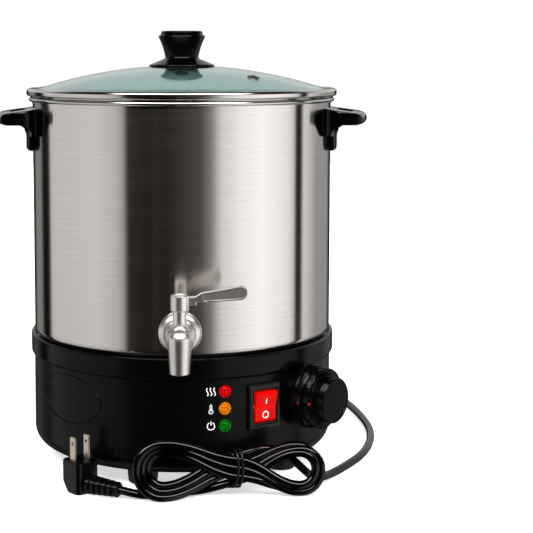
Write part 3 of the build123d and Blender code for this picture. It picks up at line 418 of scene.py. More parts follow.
# Vent eyelet: rolled steel that steam has dulled.
VENT_STEEL = Metal("rolled steel eyelet, steam dulled", "#77736E", 0.3, 0.6, 0.003, 0.06)

# Base: black polypropylene from a semi-polished mould, so bands of light stay soft.
BASE_PLASTIC = Moulded("black polypropylene, semi-gloss moulded", "#030303", 0.28, 0.9, 0.0015,
                       0.03, specular=0.12, corner=0.8)
# Collar: the same plastic from a smoother mould, so it shines a little more.
COLLAR_PLASTIC = Moulded("black polypropylene, gloss moulded", "#030303", 0.18, 0.9, 0.001, 0.03,
                         specular=0.11, corner=0.8)
# Handles: phenolic, deep black with a soft polish and rounded corners.
PHENOLIC = Moulded("black phenolic, compression moulded", "#020202", 0.12, 0.7, 0.0005, 0.02,
                   specular=0.16, corner=1.2)
# Knob: the same phenolic, buffed all over, so its edges catch thin bright lines.
KNOB_PHENOLIC = Moulded("black phenolic, buffed knob", "#020202", 0.14, 0.7, 0.0, 0.02,
                        specular=0.2)
# Dial and the ring behind it: black ABS, smooth enough for its steps to catch thin lines of light.
DIAL_ABS = Moulded("black ABS, satin moulded", "#040404", 0.12, 0.5, 0.0004, 0.03, specular=0.1,
                   corner=0.5)
# Bottom cover: matt spark-eroded grain.
COVER_ABS = Moulded("black ABS, spark-eroded grain", "#0C0C0C", 0.55, 0.6, 0.012, 0.06)
# Switch frame: glossy black nylon.
SWITCH_NYLON = Moulded("black nylon, gloss moulded", "#040404", 0.14, 0.8, 0.0005, 0.02,
                       specular=0.25, corner=0.6)
# Grey nylon insides of controls: matt.
CONTROL_NYLON = Moulded("grey nylon, moulded", "#3A3A3A", 0.5, 0.8)
# Rubber feet: matt with a slight bloom.
FOOT_RUBBER = Moulded("black nitrile rubber, moulded", "#101010", 0.65, 0.9, 0.01, 0.06,
                      specular=0.35)
# Silicone seals: brick red and matt.
SILICONE = Moulded("red silicone, die cut", "#8A3626", 0.55, 1.2, 0.006)
# Cord jacket: glossy black PVC with the faint twist of its wires.
CORD_PVC = Moulded("black PVC cord jacket, extruded", "#020202", 0.1, 3.0, 0.0006, 0.03,
                   specular=0.3)
# Plug: black PVC moulded over the blades, semi-matt.
PLUG_PVC = Moulded("black PVC plug, overmoulded", "#030303", 0.2, 0.8, 0.001, 0.03, specular=0.2,
                   corner=0.6)
# Tie: thin PVC skin over wire, duller than the cord.
TIE_PVC = Moulded("black PVC-coated wire tie", "#080808", 0.22, 0.8, 0.003, 0.04, specular=0.3)
# Pad-printed ink: white marks and a red dot, flat and matt.
WHITE_INK = Moulded("white pad-printed ink", "#F2F2F0", 0.5, 0.3, 0.002)
RED_INK = Moulded("red pad-printed ink", "#D01812", 0.4, 0.3, 0.002)
# Off mark on the fixed ring: red ink made dark, a painted reflection of the dial's bright dot in
# the ring.
DIM_RED_INK_PAINTED_REFLECTION = Moulded("red pad-printed ink, darkened as a painted reflection", "#5C0C08", 0.4, 0.3, 0.002)

# Rocker: clear red polycarbonate over a white frame, given a painted red glow though no lamp lights
# it. Its pattern is wider than the rocker, so it glows evenly.
ROCKER_RED_PAINTED_GLOW = GlowingLens("red polycarbonate rocker, gloss moulded", "#D20805", 0.14, 60.0, 0.0, 0.02,
                     glow="#FF1606", strength=0.2, edge_glow=0.9)
# Lamp lenses, lit: facets 2.6 mm wide, brightest in their middles.
RED_LENS = GlowingLens("red polycarbonate lamp lens", "#7A0201", 0.08, 2.6, 0.12, 0.03,
                   glow="#FF0802", strength=1.1, edge_glow=0.12)
AMBER_LENS = GlowingLens("amber polycarbonate lamp lens", "#8A3402", 0.08, 2.6, 0.12, 0.03,
                     glow="#FF9204", strength=1.15)
GREEN_LENS = GlowingLens("green polycarbonate lamp lens", "#022E06", 0.08, 2.6, 0.12, 0.03,
                     glow="#02980E", strength=1.0, edge_glow=0.12)
# Lid: green-tinted tempered glass, clear, with slow waves from pressing.
LID_GLASS = ClearGlass("tempered glass, pressed dome", "#BCDDD8", 0.02, 30.0, 0.0003, 0.01)
# Studio paper under the melter: white, and lit from below so that shadows stay faint.
PAPER = BacklitPaper("backlit white studio paper", "#F4F4F3", 0.9, 2.0, 0.01, 0.03, strength=0.62)


@cache
def material(finish: Finish) -> bpy.types.Material:
    """The Blender material of a finish, made once."""
    return finish.make()


def dress(node: str, finish: Finish) -> bpy.types.Object:
    """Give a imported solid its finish.

    Args:
        node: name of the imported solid.
        finish: what it is made of.

    Returns:
        The solid's object.
    """
    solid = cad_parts[node]
    solid.data.materials.clear()
    solid.data.materials.append(material(finish))
    LOG.info("dressed %s in %s", node, finish.name)
    return solid


def dress_all(finishes: dict[str, Finish]) -> None:
    """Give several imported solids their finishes, by name."""
    for node, finish in finishes.items():
        dress(node, finish)


def new_piece(name: str, data: bpy.types.ID, finish: Finish, body: str) -> bpy.types.Object:
    """Add a piece to the scene, on the body that carries it.

    Args:
        name: the piece's name.
        data: its mesh or curve.
        finish: what it is made of.
        body: the body that it moves with.

    Returns:
        The new object.
    """
    piece = bpy.data.objects.new(name, data)
    bpy.context.scene.collection.objects.link(piece)
    data.materials.append(material(finish))
    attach(piece, body)
    LOG.info("made %s in %s", name, finish.name)
    return piece


# ------------------------------------------------------------------ meshes and curves

def mesh_of(name: str, points: list[Vector], faces: list[tuple[int, ...]],
            smooth: bool = False) -> bpy.types.Mesh:
    """A mesh from points and faces.

    Args:
        name: the mesh's name.
        points: its corners.
        faces: corner numbers of each face.
        smooth: whether faces are shaded as one surface.

    Returns:
        The mesh.
    """
    mesh = bpy.data.meshes.new(name)
    mesh.from_pydata(points, [], faces)
    mesh.polygons.foreach_set("use_smooth", [smooth] * len(mesh.polygons))
    mesh.update()
    return mesh


def turned(name: str, outline: list[tuple[float, float]], steps: int = 360,
           crease: float = 30.0) -> bpy.types.Mesh:
    """A closed outline turned round the tank's axis.

    Args:
        name: the mesh's name.
        outline: its radius and height at each corner, in mm, round the section.
        steps: how many places round the axis.
        crease: least angle between faces, in degrees, that is left sharp.

    Returns:
        The mesh, smooth but for the section's own corners.
    """
    count = len(outline)
    turns = [2.0 * pi * i / steps for i in range(steps)]
    points = [Vector((r * cos(a), r * sin(a), z)) * MM for a in turns for r, z in outline]
    faces = []
    for i in range(steps):
        here, there = i * count, (i + 1) % steps * count
        faces += [(here + j, there + j, there + (j + 1) % count, here + (j + 1) % count)
                  for j in range(count)]
    mesh = mesh_of(name, points, faces, smooth=True)
    mesh.set_sharp_from_angle(angle=radians(crease))
    return mesh


def arc(centre: tuple[float, float], radius: float, start: float, end: float,
        steps: int = 8) -> list[tuple[float, float]]:
    """Points of an arc.

    Args:
        centre: its middle.
        radius: its radius.
        start: angle of its first point, in degrees anticlockwise from the right.
        end: angle of its last point.
        steps: how many parts it has.

    Returns:
        Its points.
    """
    turns = [radians(start + (end - start) * i / steps) for i in range(steps + 1)]
    return [(centre[0] + radius * cos(a), centre[1] + radius * sin(a)) for a in turns]


def ring(centre: tuple[float, float], radius: float,
         corners: int = 24) -> list[tuple[float, float]]:
    """Corners of a full circle, without its first one again."""
    return arc(centre, radius, 0.0, 360.0 - 360.0 / corners, corners - 1)


def rod(name: str, way: list[Vector], radius: float, roundness: int,
        steps: int) -> bpy.types.Curve:
    """A round rod along a smooth line.

    Args:
        name: the curve's name.
        way: the places that guide it, in mm.
        radius: of its section.
        roundness: how finely its section is drawn.
        steps: how many parts the line has from one place to the next.

    Returns:
        The curve.
    """
    data = bpy.data.curves.new(name, "CURVE")
    data.dimensions = "3D"
    data.bevel_depth = radius * MM
    data.bevel_resolution = roundness
    data.resolution_u = steps
    data.use_fill_caps = True
    line = data.splines.new("NURBS")
    line.points.add(len(way) - 1)
    for point, place in zip(line.points, way):
        point.co = (*(place * MM), 1.0)
    line.order_u = 3
    line.use_endpoint_u = True
    line.use_smooth = True
    return data


# ------------------------------------------------------------------ printed marks

@dataclass
class Stroke:
    """A line of print in a mark's own plane.

    Attributes:
        points: places in millimetres, right and up of the mark's middle.
        closed: whether its end meets its start.
    """

    points: list[tuple[float, float]]
    closed: bool = False


@dataclass
class PrintedMark:
    """Ink of one width, laid on a surface.

    Attributes:
        strokes: its lines.
        width_mm: the line's width.
        ink_mm: the ink's thickness.
    """

    strokes: list[Stroke]
    width_mm: float
    ink_mm: float = 0.06

    def mesh(self, name: str, lay: Lay) -> bpy.types.Mesh:
        """Build the ink as closed ribbons.

        Args:
            name: the mesh's name.
            lay: turns (right, up, out) in millimetres into a place in metres.

        Returns:
            The mesh.
        """
        points: list[Vector] = []
        faces: list[tuple[int, ...]] = []
        for stroke in self.strokes:
            line = [Vector((x, y)) for x, y in stroke.points]
            count = len(line)
            first = len(points)
            for i, here in enumerate(line):
                before = line[i - 1] if i or stroke.closed else here
                after = line[(i + 1) % count] if i < count - 1 or stroke.closed else here
                along = (after - before).normalized()
                side = Vector((-along.y, along.x)) * self.width_mm / 2
                for x, y in (here + side, here - side):
                    points += [lay(x, y, self.ink_mm), lay(x, y, 0.0)]
            for i in range(count if stroke.closed else count - 1):
                a = first + 4 * i
                b = first + 4 * ((i + 1) % count)
                faces += [(a, b, b + 2, a + 2), (a + 1, a + 3, b + 3, b + 1),
                          (a, a + 1, b + 1, b), (a + 2, b + 2, b + 3, a + 3)]
            if not stroke.closed:
                z = first + 4 * (count - 1)
                faces += [(first, first + 2, first + 3, first + 1), (z, z + 1, z + 3, z + 2)]
        return mesh_of(name, points, faces)


@dataclass
class RoundWall:
    """A place on the base's round wall that takes ink.

    Attributes:
        radius: the wall's radius.
        azimuth: the place's direction in radians, from the front towards the right.
        height: its height.
    """

    radius: float
    azimuth: float
    height: float

    def lay(self, x: float, y: float, out: float) -> Vector:
        """Wrap a point of a mark round the wall.

        Args:
            x: distance to the right.
            y: distance up.
            out: distance out of the wall, past the ink gap.

        Returns:
            The place in metres.
        """
        a = self.azimuth + x / self.radius
        r = self.radius + INK_GAP + out
        return Vector((r * sin(a), -r * cos(a), self.height + y)) * MM


@dataclass
class FlatFace:
    """A place on a flat face that takes ink.

    Attributes:
        origin: where the mark's height is counted from.
        right: direction to the right.
        up: direction up the face.
        normal: direction out of it.
        rise: distance from the origin up to the mark's middle.
    """

    origin: Vector
    right: Vector
    up: Vector
    normal: Vector
    rise: float

    def lay(self, x: float, y: float, out: float) -> Vector:
        """Lay a point of a mark on the face.

        Args:
            x: distance to the right.
            y: distance up.
            out: distance out of the face, past the ink gap.

        Returns:
            The place in metres.
        """
        level = self.origin + self.right * x + self.up * (self.rise + y)
        return (level + self.normal * (out + INK_GAP)) * MM


@dataclass
class Pictograms:
    """Plain signs for heating, keeping warm and standby.

    Attributes:
        line: width of the heating and standby signs' lines.
        thin_line: width of the thermometer's lines.
        wave_x: places of the three waves of heat.
        wave_half: half of a wave's height.
        sway: how far a wave swings to each side.
        bulb_r: radius of the thermometer's bulb.
        bulb_y: height of the bulb's middle.
        tube: the thermometer's tube, up one side, over and down the other.
        dial_r: radius of the standby sign's ring.
        gap: angles at which a ring or bulb that is open at its top starts and ends.
        steps: how many parts an open ring has.
        column_top: top of the thermometer's column.
        bar: low and high end of the standby sign's line.
    """

    line: float = 0.75
    thin_line: float = 0.55
    wave_x: tuple[float, ...] = (-2.8, 0.0, 2.8)
    wave_half: float = 3.2
    sway: float = 0.7
    bulb_r: float = 1.6
    bulb_y: float = -2.2
    tube: Pairs = ((0.7, 2.6), (0.0, 3.4), (-0.7, 2.6))
    dial_r: float = 2.9
    gap: tuple[float, float] = (118.0, 422.0)
    steps: int = 20
    column_top: float = 0.4
    bar: tuple[float, float] = (0.6, 3.8)

    def heating(self) -> PrintedMark:
        """Three upright waves of heat.

        Returns:
            The sign.
        """
        parts = 12
        waves = [Stroke([(x + self.sway * sin(i / parts * tau),
                          -self.wave_half + 2.0 * self.wave_half * i / parts)
                         for i in range(parts + 1)]) for x in self.wave_x]
        return PrintedMark(waves, self.line)

    def warming(self) -> PrintedMark:
        """A thermometer with its column.

        Returns:
            The sign.
        """
        bulb = arc((0.0, self.bulb_y), self.bulb_r, *self.gap, self.steps)
        column = Stroke([(0.0, self.bulb_y), (0.0, self.column_top)])
        return PrintedMark([Stroke(bulb + list(self.tube), True), column], self.thin_line)

    def standby(self) -> PrintedMark:
        """A ring open at its top, with an upright line in the gap."""
        circle = Stroke(arc((0.0, 0.0), self.dial_r, *self.gap, self.steps))
        return PrintedMark([circle, Stroke([(0.0, end) for end in self.bar])], self.line)


# ------------------------------------------------------------------ base, tank, lid, handles

@dataclass
class HeatingBase:
    """Black base with its collar, cover, feet and the heating parts inside.

    Attributes:
        finishes: what each of its solids is made of.
    """

    finishes: dict[str, Finish] = field(default_factory=lambda: {
        "base_housing": BASE_PLASTIC, "collar_ring": COLLAR_PLASTIC, "bottom_cover": COVER_ABS,
        "rubber_feet": FOOT_RUBBER, "foot_screws": ZINC_PLATE, "cover_screws": ZINC_PLATE,
        "heat_plate": ALUMINIUM, "heating_element": SHEATH, "heat_shield": GALVANISED,
        "tank_studs": ZINC_PLATE, "stud_nuts": ZINC_PLATE, "thermal_cutout": CONTROL_NYLON,
        "thermostat_bulb": COPPER, "terminal_block": CONTROL_NYLON})

    def build(self) -> None:
        """Give each solid of the base its finish."""
        dress_all(self.finishes)


@dataclass
class SteelTank:
    """Drawn tank, its gasket and the screws inside it.

    Attributes:
        bead_at: radius and height of the rolled bead's middle.
        bead_r: the bead's radius, with the polished skin that hides the solid's facets.
    """

    bead_at: tuple[float, float] = (126.25, 300.45)
    bead_r: float = 1.82

    def build(self) -> None:
        """Give the tank's solids their finishes and roll its edge."""
        dress_all({"tank": TANK_STEEL, "tank_gasket": SILICONE, "handle_screws": ZINC_PLATE})
        self.bead()

    def bead(self) -> None:
        """Roll the tank's edge into a polished bead."""
        mesh = turned("rolled_bead", ring(self.bead_at, self.bead_r))
        new_piece("rolled_bead", mesh, RIM_STEEL, "base")


@dataclass
class GlassLid:
    """Domed glass in a rolled band, with a vent eyelet and a phenolic knob.

    Attributes:
        lip_r: radius of the band's lip on the glass.
        lip_round: radius of the lip's edge.
        reach: the band's outer radius.
        top_z: top of the band.
        low_z: its bottom.
        top_round: radius of its upper edge.
        low_round: radius of its lower edge.
        seat_z: where it rests on the tank.
        skirt_r: outer and inner radius of its skirt.
        skirt_z: bottom of the skirt.
        seat_r: radii of the step from the band's bottom up to the seat.
        glass_r: outer radius of the glass's pocket.
        sheet: thickness of the band's steel.
    """

    lip_r: float = 122.0
    lip_round: float = 0.3
    reach: float = 130.0
    top_z: float = 309.5
    low_z: float = 303.5
    top_round: float = 2.4
    low_round: float = 1.6
    seat_z: float = 302.5
    skirt_r: tuple[float, float] = (123.2, 122.4)
    skirt_z: float = 297.0
    seat_r: tuple[float, float] = (127.4, 127.0)
    glass_r: float = 126.1
    sheet: float = 0.8

    def band(self) -> None:
        """Roll the steel band that grips the glass, in place of the plain turned solid."""
        top, low, lip = self.top_round, self.low_round, self.lip_round
        section = arc((self.reach - top, self.top_z - top), top, 90.0, 0.0)
        section += arc((self.reach - low, self.low_z + low), low, 0.0, -90.0)
        section += [
            (self.seat_r[0], self.low_z), (self.seat_r[1], self.seat_z),
            (self.skirt_r[0], self.seat_z), (self.skirt_r[0], self.skirt_z),
            (self.skirt_r[1], self.skirt_z), (self.skirt_r[1], self.seat_z + self.sheet),
            (self.glass_r, self.seat_z + self.sheet), (self.glass_r, self.top_z - self.sheet),
            (self.lip_r, self.top_z - self.sheet)]
        section += arc((self.lip_r + lip, self.top_z - lip), lip, 180.0, 90.0, steps=3)
        mesh = turned("rolled_band", section[::-1])
        band = new_piece("rolled_band", mesh, RIM_STEEL, "lid")
        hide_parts("lid_rim")

    def build(self) -> None:
        """Roll the lid's band and give its solids their finishes."""
        self.band()
        dress_all({"lid_glass": LID_GLASS, "lid_rim": RIM_STEEL, "lid_vent": VENT_STEEL,
                   "lid_knob": KNOB_PHENOLIC, "lid_knob_washer": ZINC_PLATE,
                   "lid_knob_screw": ZINC_PLATE})


@dataclass
class SideHandles:
    """Phenolic loops on both sides of the tank."""

    def build(self) -> None:
        """Give both handles their finish."""
        dress_all({"handle_left": PHENOLIC, "handle_right": PHENOLIC})


@dataclass
class LeverTap:
    """Plated ball tap with a lever that points to the right when shut.

    Attributes:
        root_x: where the lever's sunk face starts.
        root_z: the sunk face's low and high corners there.
        end_at: middle of its round end, across and up.
        end_r: radius of its round end.
        end_half: half of the angle that its round end turns through.
        panel_y: front of the sunk face's skin.
        skin: its thickness.
    """

    root_x: float = 16.6
    root_z: tuple[float, float] = (156.4, 161.2)
    end_at: tuple[float, float] = (43.9, 161.9)
    end_r: float = 4.0
    end_half: float = 80.0
    panel_y: float = -158.55
    skin: float = 0.1

    def build(self) -> None:
        """Give the tap's solids their finishes and fill the lever's sunk face."""
        dress_all({node: TAP_PLATE for node in (
            "tap_body", "tap_flange", "tap_nut", "tap_lever", "tap_cap_screw", "tap_ball",
            "tap_stem")})
        dress("tap_seals", SILICONE)
        self.panel()

    def panel(self) -> None:
        """Fill the lever's sunk face with its blasted skin."""
        end_x, end_z = self.end_at
        outline = [(self.root_x, self.root_z[0]), (end_x, end_z - self.end_r)]
        outline += arc(self.end_at, self.end_r, -self.end_half, self.end_half, steps=16)
        outline += [(end_x, end_z + self.end_r), (self.root_x, self.root_z[1])]
        count = len(outline)
        points = [Vector((x, y, z)) * MM for y in (self.panel_y, self.panel_y + self.skin)
                  for x, z in outline]
        faces = [tuple(range(count)), tuple(range(2 * count - 1, count - 1, -1))]
        faces += [(i, i + count, (i + 1) % count + count, (i + 1) % count) for i in range(count)]
        mesh = mesh_of("lever_panel", points, faces)
        new_piece("lever_panel", mesh, LEVER_PANEL, "tap_handle")


# ------------------------------------------------------------------ controls

@dataclass
class Controls:
    """Lamps with their pictograms, the rocker switch and the dial.

    Attributes:
        base_r: radius of the base's wall.
        lamp_azimuth: where the lamps stand, from the front towards the right.
        mark_gap: distance from the lamps to the middle of their pictograms.
        lamp_heights: height of the lamp beside each pictogram.
        finishes: what each of the solids is made of.
    """

    base_r: float = 125.5
    lamp_azimuth: float = 15.4
    mark_gap: float = 11.0
    lamp_heights: dict[str, float] = field(default_factory=lambda: {
        "heating": 78.9, "warming": 65.4, "standby": 51.9})
    finishes: dict[str, Finish] = field(default_factory=lambda: {
        "lamp_red": RED_LENS, "lamp_amber": AMBER_LENS, "lamp_green": GREEN_LENS,
        "lamp_holders": CONTROL_NYLON, "switch_body": SWITCH_NYLON, "switch_rocker": ROCKER_RED_PAINTED_GLOW,
        "switch_terminals": TERMINAL, "thermostat_body": CONTROL_NYLON,
        "thermostat_nut": ZINC_PLATE, "thermostat_shaft": ZINC_PLATE, "dial_bezel": DIAL_ABS,
        "dial_knob": DIAL_ABS, "dial_marker": RED_INK, "index_mark": DIM_RED_INK_PAINTED_REFLECTION})

    def print_signs(self) -> None:
        """Print the pictograms beside the lamps."""
        azimuth = radians(self.lamp_azimuth) - self.mark_gap / self.base_r
        signs = Pictograms()
        for name, mark in (("heating", signs.heating()), ("warming", signs.warming()),
                           ("standby", signs.standby())):
            wall = RoundWall(self.base_r, azimuth, self.lamp_heights[name])
            mesh = mark.mesh(f"{name}_sign", wall.lay)
            new_piece(f"{name}_sign", mesh, WHITE_INK, "base")

    def build(self) -> None:
        """Give the controls their finishes and print their marks."""
        dress_all(self.finishes)
        self.print_signs()
        RockerMarks().build()


@dataclass
class RockerMarks:
    """White I and O on the rocker's two faces.

    Attributes:
        azimuth: where the switch stands on the base.
        radius: distance from the tank's axis to the rocker's pivot.
        height: the pivot's height.
        tilt: how far the rocker leans at rest, top outward.
        lift: the face's height over the pivot, at its crease.
        marks: each mark's distance above the crease, and the mark.
    """

    azimuth: float = 30.5
    radius: float = 126.6
    height: float = 64.2
    tilt: float = 7.0
    lift: float = 2.5
    marks: dict[str, tuple[float, PrintedMark]] = field(default_factory=lambda: {
        "on": (5.0, PrintedMark([Stroke([(0.0, -2.3), (0.0, 2.3)])], 0.85)),
        "off": (-6.2, PrintedMark([Stroke(ring((0.0, 0.0), 2.5), True)], 0.85)),
    })

    def build(self) -> None:
        """Print both marks: the upper face leans out by twice the tilt, the lower is upright."""
        a, turn = radians(self.azimuth), radians(self.tilt)
        out = Vector((sin(a), -cos(a), 0.0))
        right = Vector((cos(a), sin(a), 0.0))
        up = Vector((0.0, 0.0, 1.0))
        pivot = out * self.radius + up * self.height
        crease = pivot + out * self.lift * cos(turn) - up * self.lift * sin(turn)
        for name, (rise, mark) in self.marks.items():
            lean = radians(2 * self.tilt if rise > 0 else 0.0)
            face = FlatFace(crease, right, up * cos(lean) + out * sin(lean),
                            out * cos(lean) - up * sin(lean), rise)
            mesh = mark.mesh(f"{name}_mark", face.lay)
            new_piece(f"{name}_mark", mesh, WHITE_INK, "rocker")


# ------------------------------------------------------------------ mains lead

def ease(share: float) -> float:
    """Smooth step from 0 to 1."""
    share = min(max(share, 0.0), 1.0)
    return share * share * (3.0 - 2.0 * share)


@dataclass
class LoopTurn:
    """One strand's way round one end of the hank, in the hank's plane.

    Attributes:
        centre: middle of its round end, along and up from the tie.
        radius: of its round end.
        depth: how far in front of the hank's middle it runs there.
    """

    centre: tuple[float, float]
    radius: float
    depth: float


@dataclass
class WireTie:
    """Coated wire wound twice round the hank's middle, with two short ends in front.

    Attributes:
        turns: how many turns it makes.
        steps: how many places each turn has.
        wire: the wire's radius.
        half: half of a turn's depth and of its height.
        pitch: distance along the hank from one turn to the next.
        bulge: how far a turn's front half leans along the hank.
        shift: how far its back lies from the hank's middle.
        squeeze: how much wider a turn is at its corners.
        ends: how far the first and the last end run back along the hank and out in front.
    """

    turns: int = 2
    steps: int = 40
    wire: float = 1.0
    half: tuple[float, float] = (7.4, 13.9)
    pitch: float = 3.4
    bulge: float = 4.5
    shift: float = 2.0
    squeeze: float = 0.10
    ends: Pairs = ((2.6, 2.4), (3.4, 3.2))

    def way(self, middle: Vector, along: Vector, up: Vector, front: Vector) -> list[Vector]:
        """The wire's way round the hank.

        Args:
            middle: the hank's middle.
            along: direction along the hank.
            up: direction up its lean.
            front: direction out of its front.

        Returns:
            Places along it in millimetres.
        """
        places = []
        for i in range(self.turns * self.steps + 1):
            a = i / self.steps * tau - pi / 2
            s = self.pitch * (i / self.steps - 1.0) + self.bulge * max(cos(a), 0.0) - self.shift
            n = self.half[0] * cos(a)
            t = self.half[1] * sin(a)
            wide = 1.0 + self.squeeze * abs(sin(2 * a))
            places.append(middle + along * s + up * t * wide + front * n * wide)
        (first_back, first_out), (last_back, last_out) = self.ends
        places.insert(0, places[0] - along * first_back + front * first_out)
        places.append(places[-1] - along * last_back + front * last_out)
        for place in places:
            place.z = max(place.z, self.wire + FLOOR_GAP)
        return places


@dataclass
class MainsLead:
    """Free black cord from its sleeve to the plug, with a tied hank of figure-eight turns.

    Attributes:
        diameter: of the cord.
        tie_at: middle of the tie.
        yaw: how far the hank turns from the X axis.
        lean: how far its top leans back.
        layer: distance of each layer of strands from the tie's middle plane.
        back_rows: heights at the tie of the strands that go from right-top to left-bottom.
        front_rows: heights at the tie of the strands that go from left-top to right-bottom.
        left: the strands' round ends on the left, in order.
        right: the strands' round ends on the right, in order.
        leg_shares: where a strand's straight runs are guided, as shares of their length.
        sway: how far those runs sway from a straight line.
        change: share of a run at which it starts to change its depth, and over how much.
        swing: how soon a round end comes to its full depth.
        bend_steps: how many places a round end has.
        bend_half: half of the angle that a round end turns through.
        lead: from the sleeve's mouth behind the base, round its right side on the worktop, to
            the hank.
        climb: from there up to the tie, in the hank's plane.
        tail: from the hank under its left loop to the plug's sleeve.
    """

    diameter: float = 6.5
    tie_at: Vector = field(default_factory=lambda: Vector((43.0, -135.3, 22.6)))
    yaw: float = 4.4
    lean: float = 12.0
    layer: float = 3.25
    back_rows: tuple[float, ...] = (9.75, 3.25, -3.25, -9.75)
    front_rows: tuple[float, ...] = (-6.5, 0.0, 6.5)
    left: tuple[LoopTurn, ...] = (
        LoopTurn((-56.6, 0.3), 13.2, -5.4),
        LoopTurn((-57.4, 0.0), 17.0, 0.2),
        LoopTurn((-58.2, -0.2), 20.6, 5.4),
    )
    right: tuple[LoopTurn, ...] = (
        LoopTurn((45.8, -0.6), 16.6, -5.4),
        LoopTurn((48.6, -3.2), 16.4, 0.3),
        LoopTurn((47.0, -1.6), 12.4, 5.6),
    )
    leg_shares: tuple[float, ...] = (0.16, 0.38, 0.62, 0.84)
    sway: float = 0.1
    change: tuple[float, float] = (0.3, 0.9)
    swing: float = 1.5
    bend_steps: int = 9
    bend_half: float = 100.0
    lead: Places = (
        (43.55, 151.88, 30.0), (50.4, 175.9, 30.0), (65.8, 193.6, 21.5), (85.7, 202.1, 9.0),
        (110.1, 201.2, 3.6), (132.2, 189.5, 3.4), (147.5, 168.5, 3.4), (157.0, 137.0, 3.4),
        (164.0, 96.0, 3.4), (168.0, 50.0, 3.4), (164.0, 6.0, 3.4), (152.0, -35.0, 3.4),
        (134.0, -68.0, 3.4), (117.0, -93.0, 3.4), (105.0, -112.0, 6.5), (97.0, -120.0, 14.0),
        (88.0, -122.5, 23.5),
    )
    climb: Places = ((34.0, 12.5, -11.2), (20.0, 13.5, -9.5), (8.0, 11.6, -4.6))
    tail: Places = (
        (27.0, -134.0, 7.5), (12.0, -132.5, 3.6), (-4.0, -134.5, 3.4), (-17.0, -139.2, 3.4),
        (-28.0, -143.3, 3.9), (-38.5, -143.4, 6.0), (-47.0, -139.5, 7.0),
    )

    def axes(self) -> tuple[Vector, Vector, Vector]:
        """The hank's own directions.

        Returns:
            Directions along it, up its lean and out of its front.
        """
        yaw, lean = radians(self.yaw), radians(self.lean)
        along = Vector((cos(yaw), sin(yaw), 0.0))
        up = Vector((-sin(yaw) * sin(lean), cos(yaw) * sin(lean), cos(lean)))
        return along, up, along.cross(up)

    def place(self, s: float, t: float, n: float) -> Vector:
        """A place in the hank, kept on or above the worktop.

        Args:
            s: distance along the hank from the tie.
            t: distance up its lean.
            n: distance out of its front.

        Returns:
            The place in millimetres.
        """
        along, up, front = self.axes()
        at = self.tie_at + along * s + up * t + front * n
        at.z = max(at.z, self.diameter / 2 + FLOOR_GAP)
        return at

    def leg(self, t_tie: float, end: tuple[float, float], layer: float,
            depth: float) -> list[Vector]:
        """One run of a strand from the tie to where a round end starts.

        Args:
            t_tie: its height at the tie.
            end: where the round end starts, along and up.
            layer: its layer at the tie.
            depth: the depth that it changes to.

        Returns:
            Places along it in millimetres, from the tie.
        """
        start, over = self.change
        places = []
        for u in self.leg_shares:
            t = t_tie + (end[1] - t_tie) * (u - self.sway * sin(tau * u))
            n = layer + (depth - layer) * ease((u - start) / over)
            places.append(self.place(u * end[0], t, n))
        return places

    def loop(self, side: int, t_in: float, t_out: float, n_in: float,
             turn: LoopTurn) -> list[Vector]:
        """One strand from the tie round an end of the hank and back, bottom leg first.

        Args:
            side: -1 for the left end and 1 for the right.
            t_in: its height at the tie as it leaves.
            t_out: its height at the tie as it comes back.
            n_in: its layer as it leaves; it comes back in the other.
            turn: its round end.

        Returns:
            Places along it in millimetres.
        """
        s_end, t_end = turn.centre
        spans = self.bend_steps - 1
        turns = [radians(-self.bend_half + 2 * self.bend_half * i / spans)
                 for i in range(self.bend_steps)]
        bend = [(s_end + side * turn.radius * cos(a), t_end + turn.radius * sin(a)) for a in turns]
        start, over = self.change
        reached = ease((1.0 - start) / over)
        places = self.leg(t_in, bend[0], n_in, turn.depth)
        for i, (s, t) in enumerate(bend):
            u = i / spans
            layer = n_in if u < 0.5 else -n_in
            near = layer + (turn.depth - layer) * reached
            n = near + (turn.depth - near) * ease((1.0 - abs(2.0 * u - 1.0)) * self.swing)
            places.append(self.place(s, t, n))
        return places + self.leg(t_out, bend[-1], -n_in, turn.depth)[::-1]

    def route(self) -> list[Vector]:
        """The whole cord's way, from the sleeve's mouth to the plug's sleeve.

        Returns:
            Places along it in millimetres.
        """
        way = [Vector(p) for p in self.lead]
        way += [self.place(*p) for p in self.climb]
        way.append(self.place(0.0, self.back_rows[0], -self.layer))
        for i, (left, right) in enumerate(zip(self.left, self.right)):
            front, back = self.front_rows[i], self.back_rows[i + 1]
            way += self.loop(-1, self.back_rows[i], front, -self.layer, left)
            way.append(self.place(0.0, front, self.layer))
            way += self.loop(1, front, back, self.layer, right)
            way.append(self.place(0.0, back, -self.layer))
        return way + [Vector(p) for p in self.tail]

    def cord(self) -> bpy.types.Object:
        """Build the cord as one smooth curve with a round section.

        Returns:
            The cord's object.
        """
        data = rod("mains_cord", self.route(), self.diameter / 2, roundness=5, steps=6)
        piece = new_piece("mains_cord", data, CORD_PVC, "base")
        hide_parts("cord_lead", "cord_hank", "cord_tail")
        return piece

    def tie(self) -> bpy.types.Object:
        """Build the wire tie round the hank's middle.

        Returns:
            The tie's object.
        """
        wire = WireTie()
        way = wire.way(self.tie_at, *self.axes())
        data = rod("wire_tie", way, wire.wire, roundness=3, steps=12)
        piece = new_piece("wire_tie", data, TIE_PVC, "base")
        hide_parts("cord_tie")
        return piece

    def build(self) -> None:
        """Dress the plug and sleeve, and lay the cord."""
        plug = dress("plug_body", PLUG_PVC)
        relief = dress("plug_relief", PLUG_PVC)
        gland = dress("cord_gland", PLUG_PVC)
        blades = dress("plug_blades", BLADE_PLATE)
        cord = self.cord()
        tie = self.tie()
        tuple(Vector(self.lead[0]) * MM)


# ------------------------------------------------------------------ studio

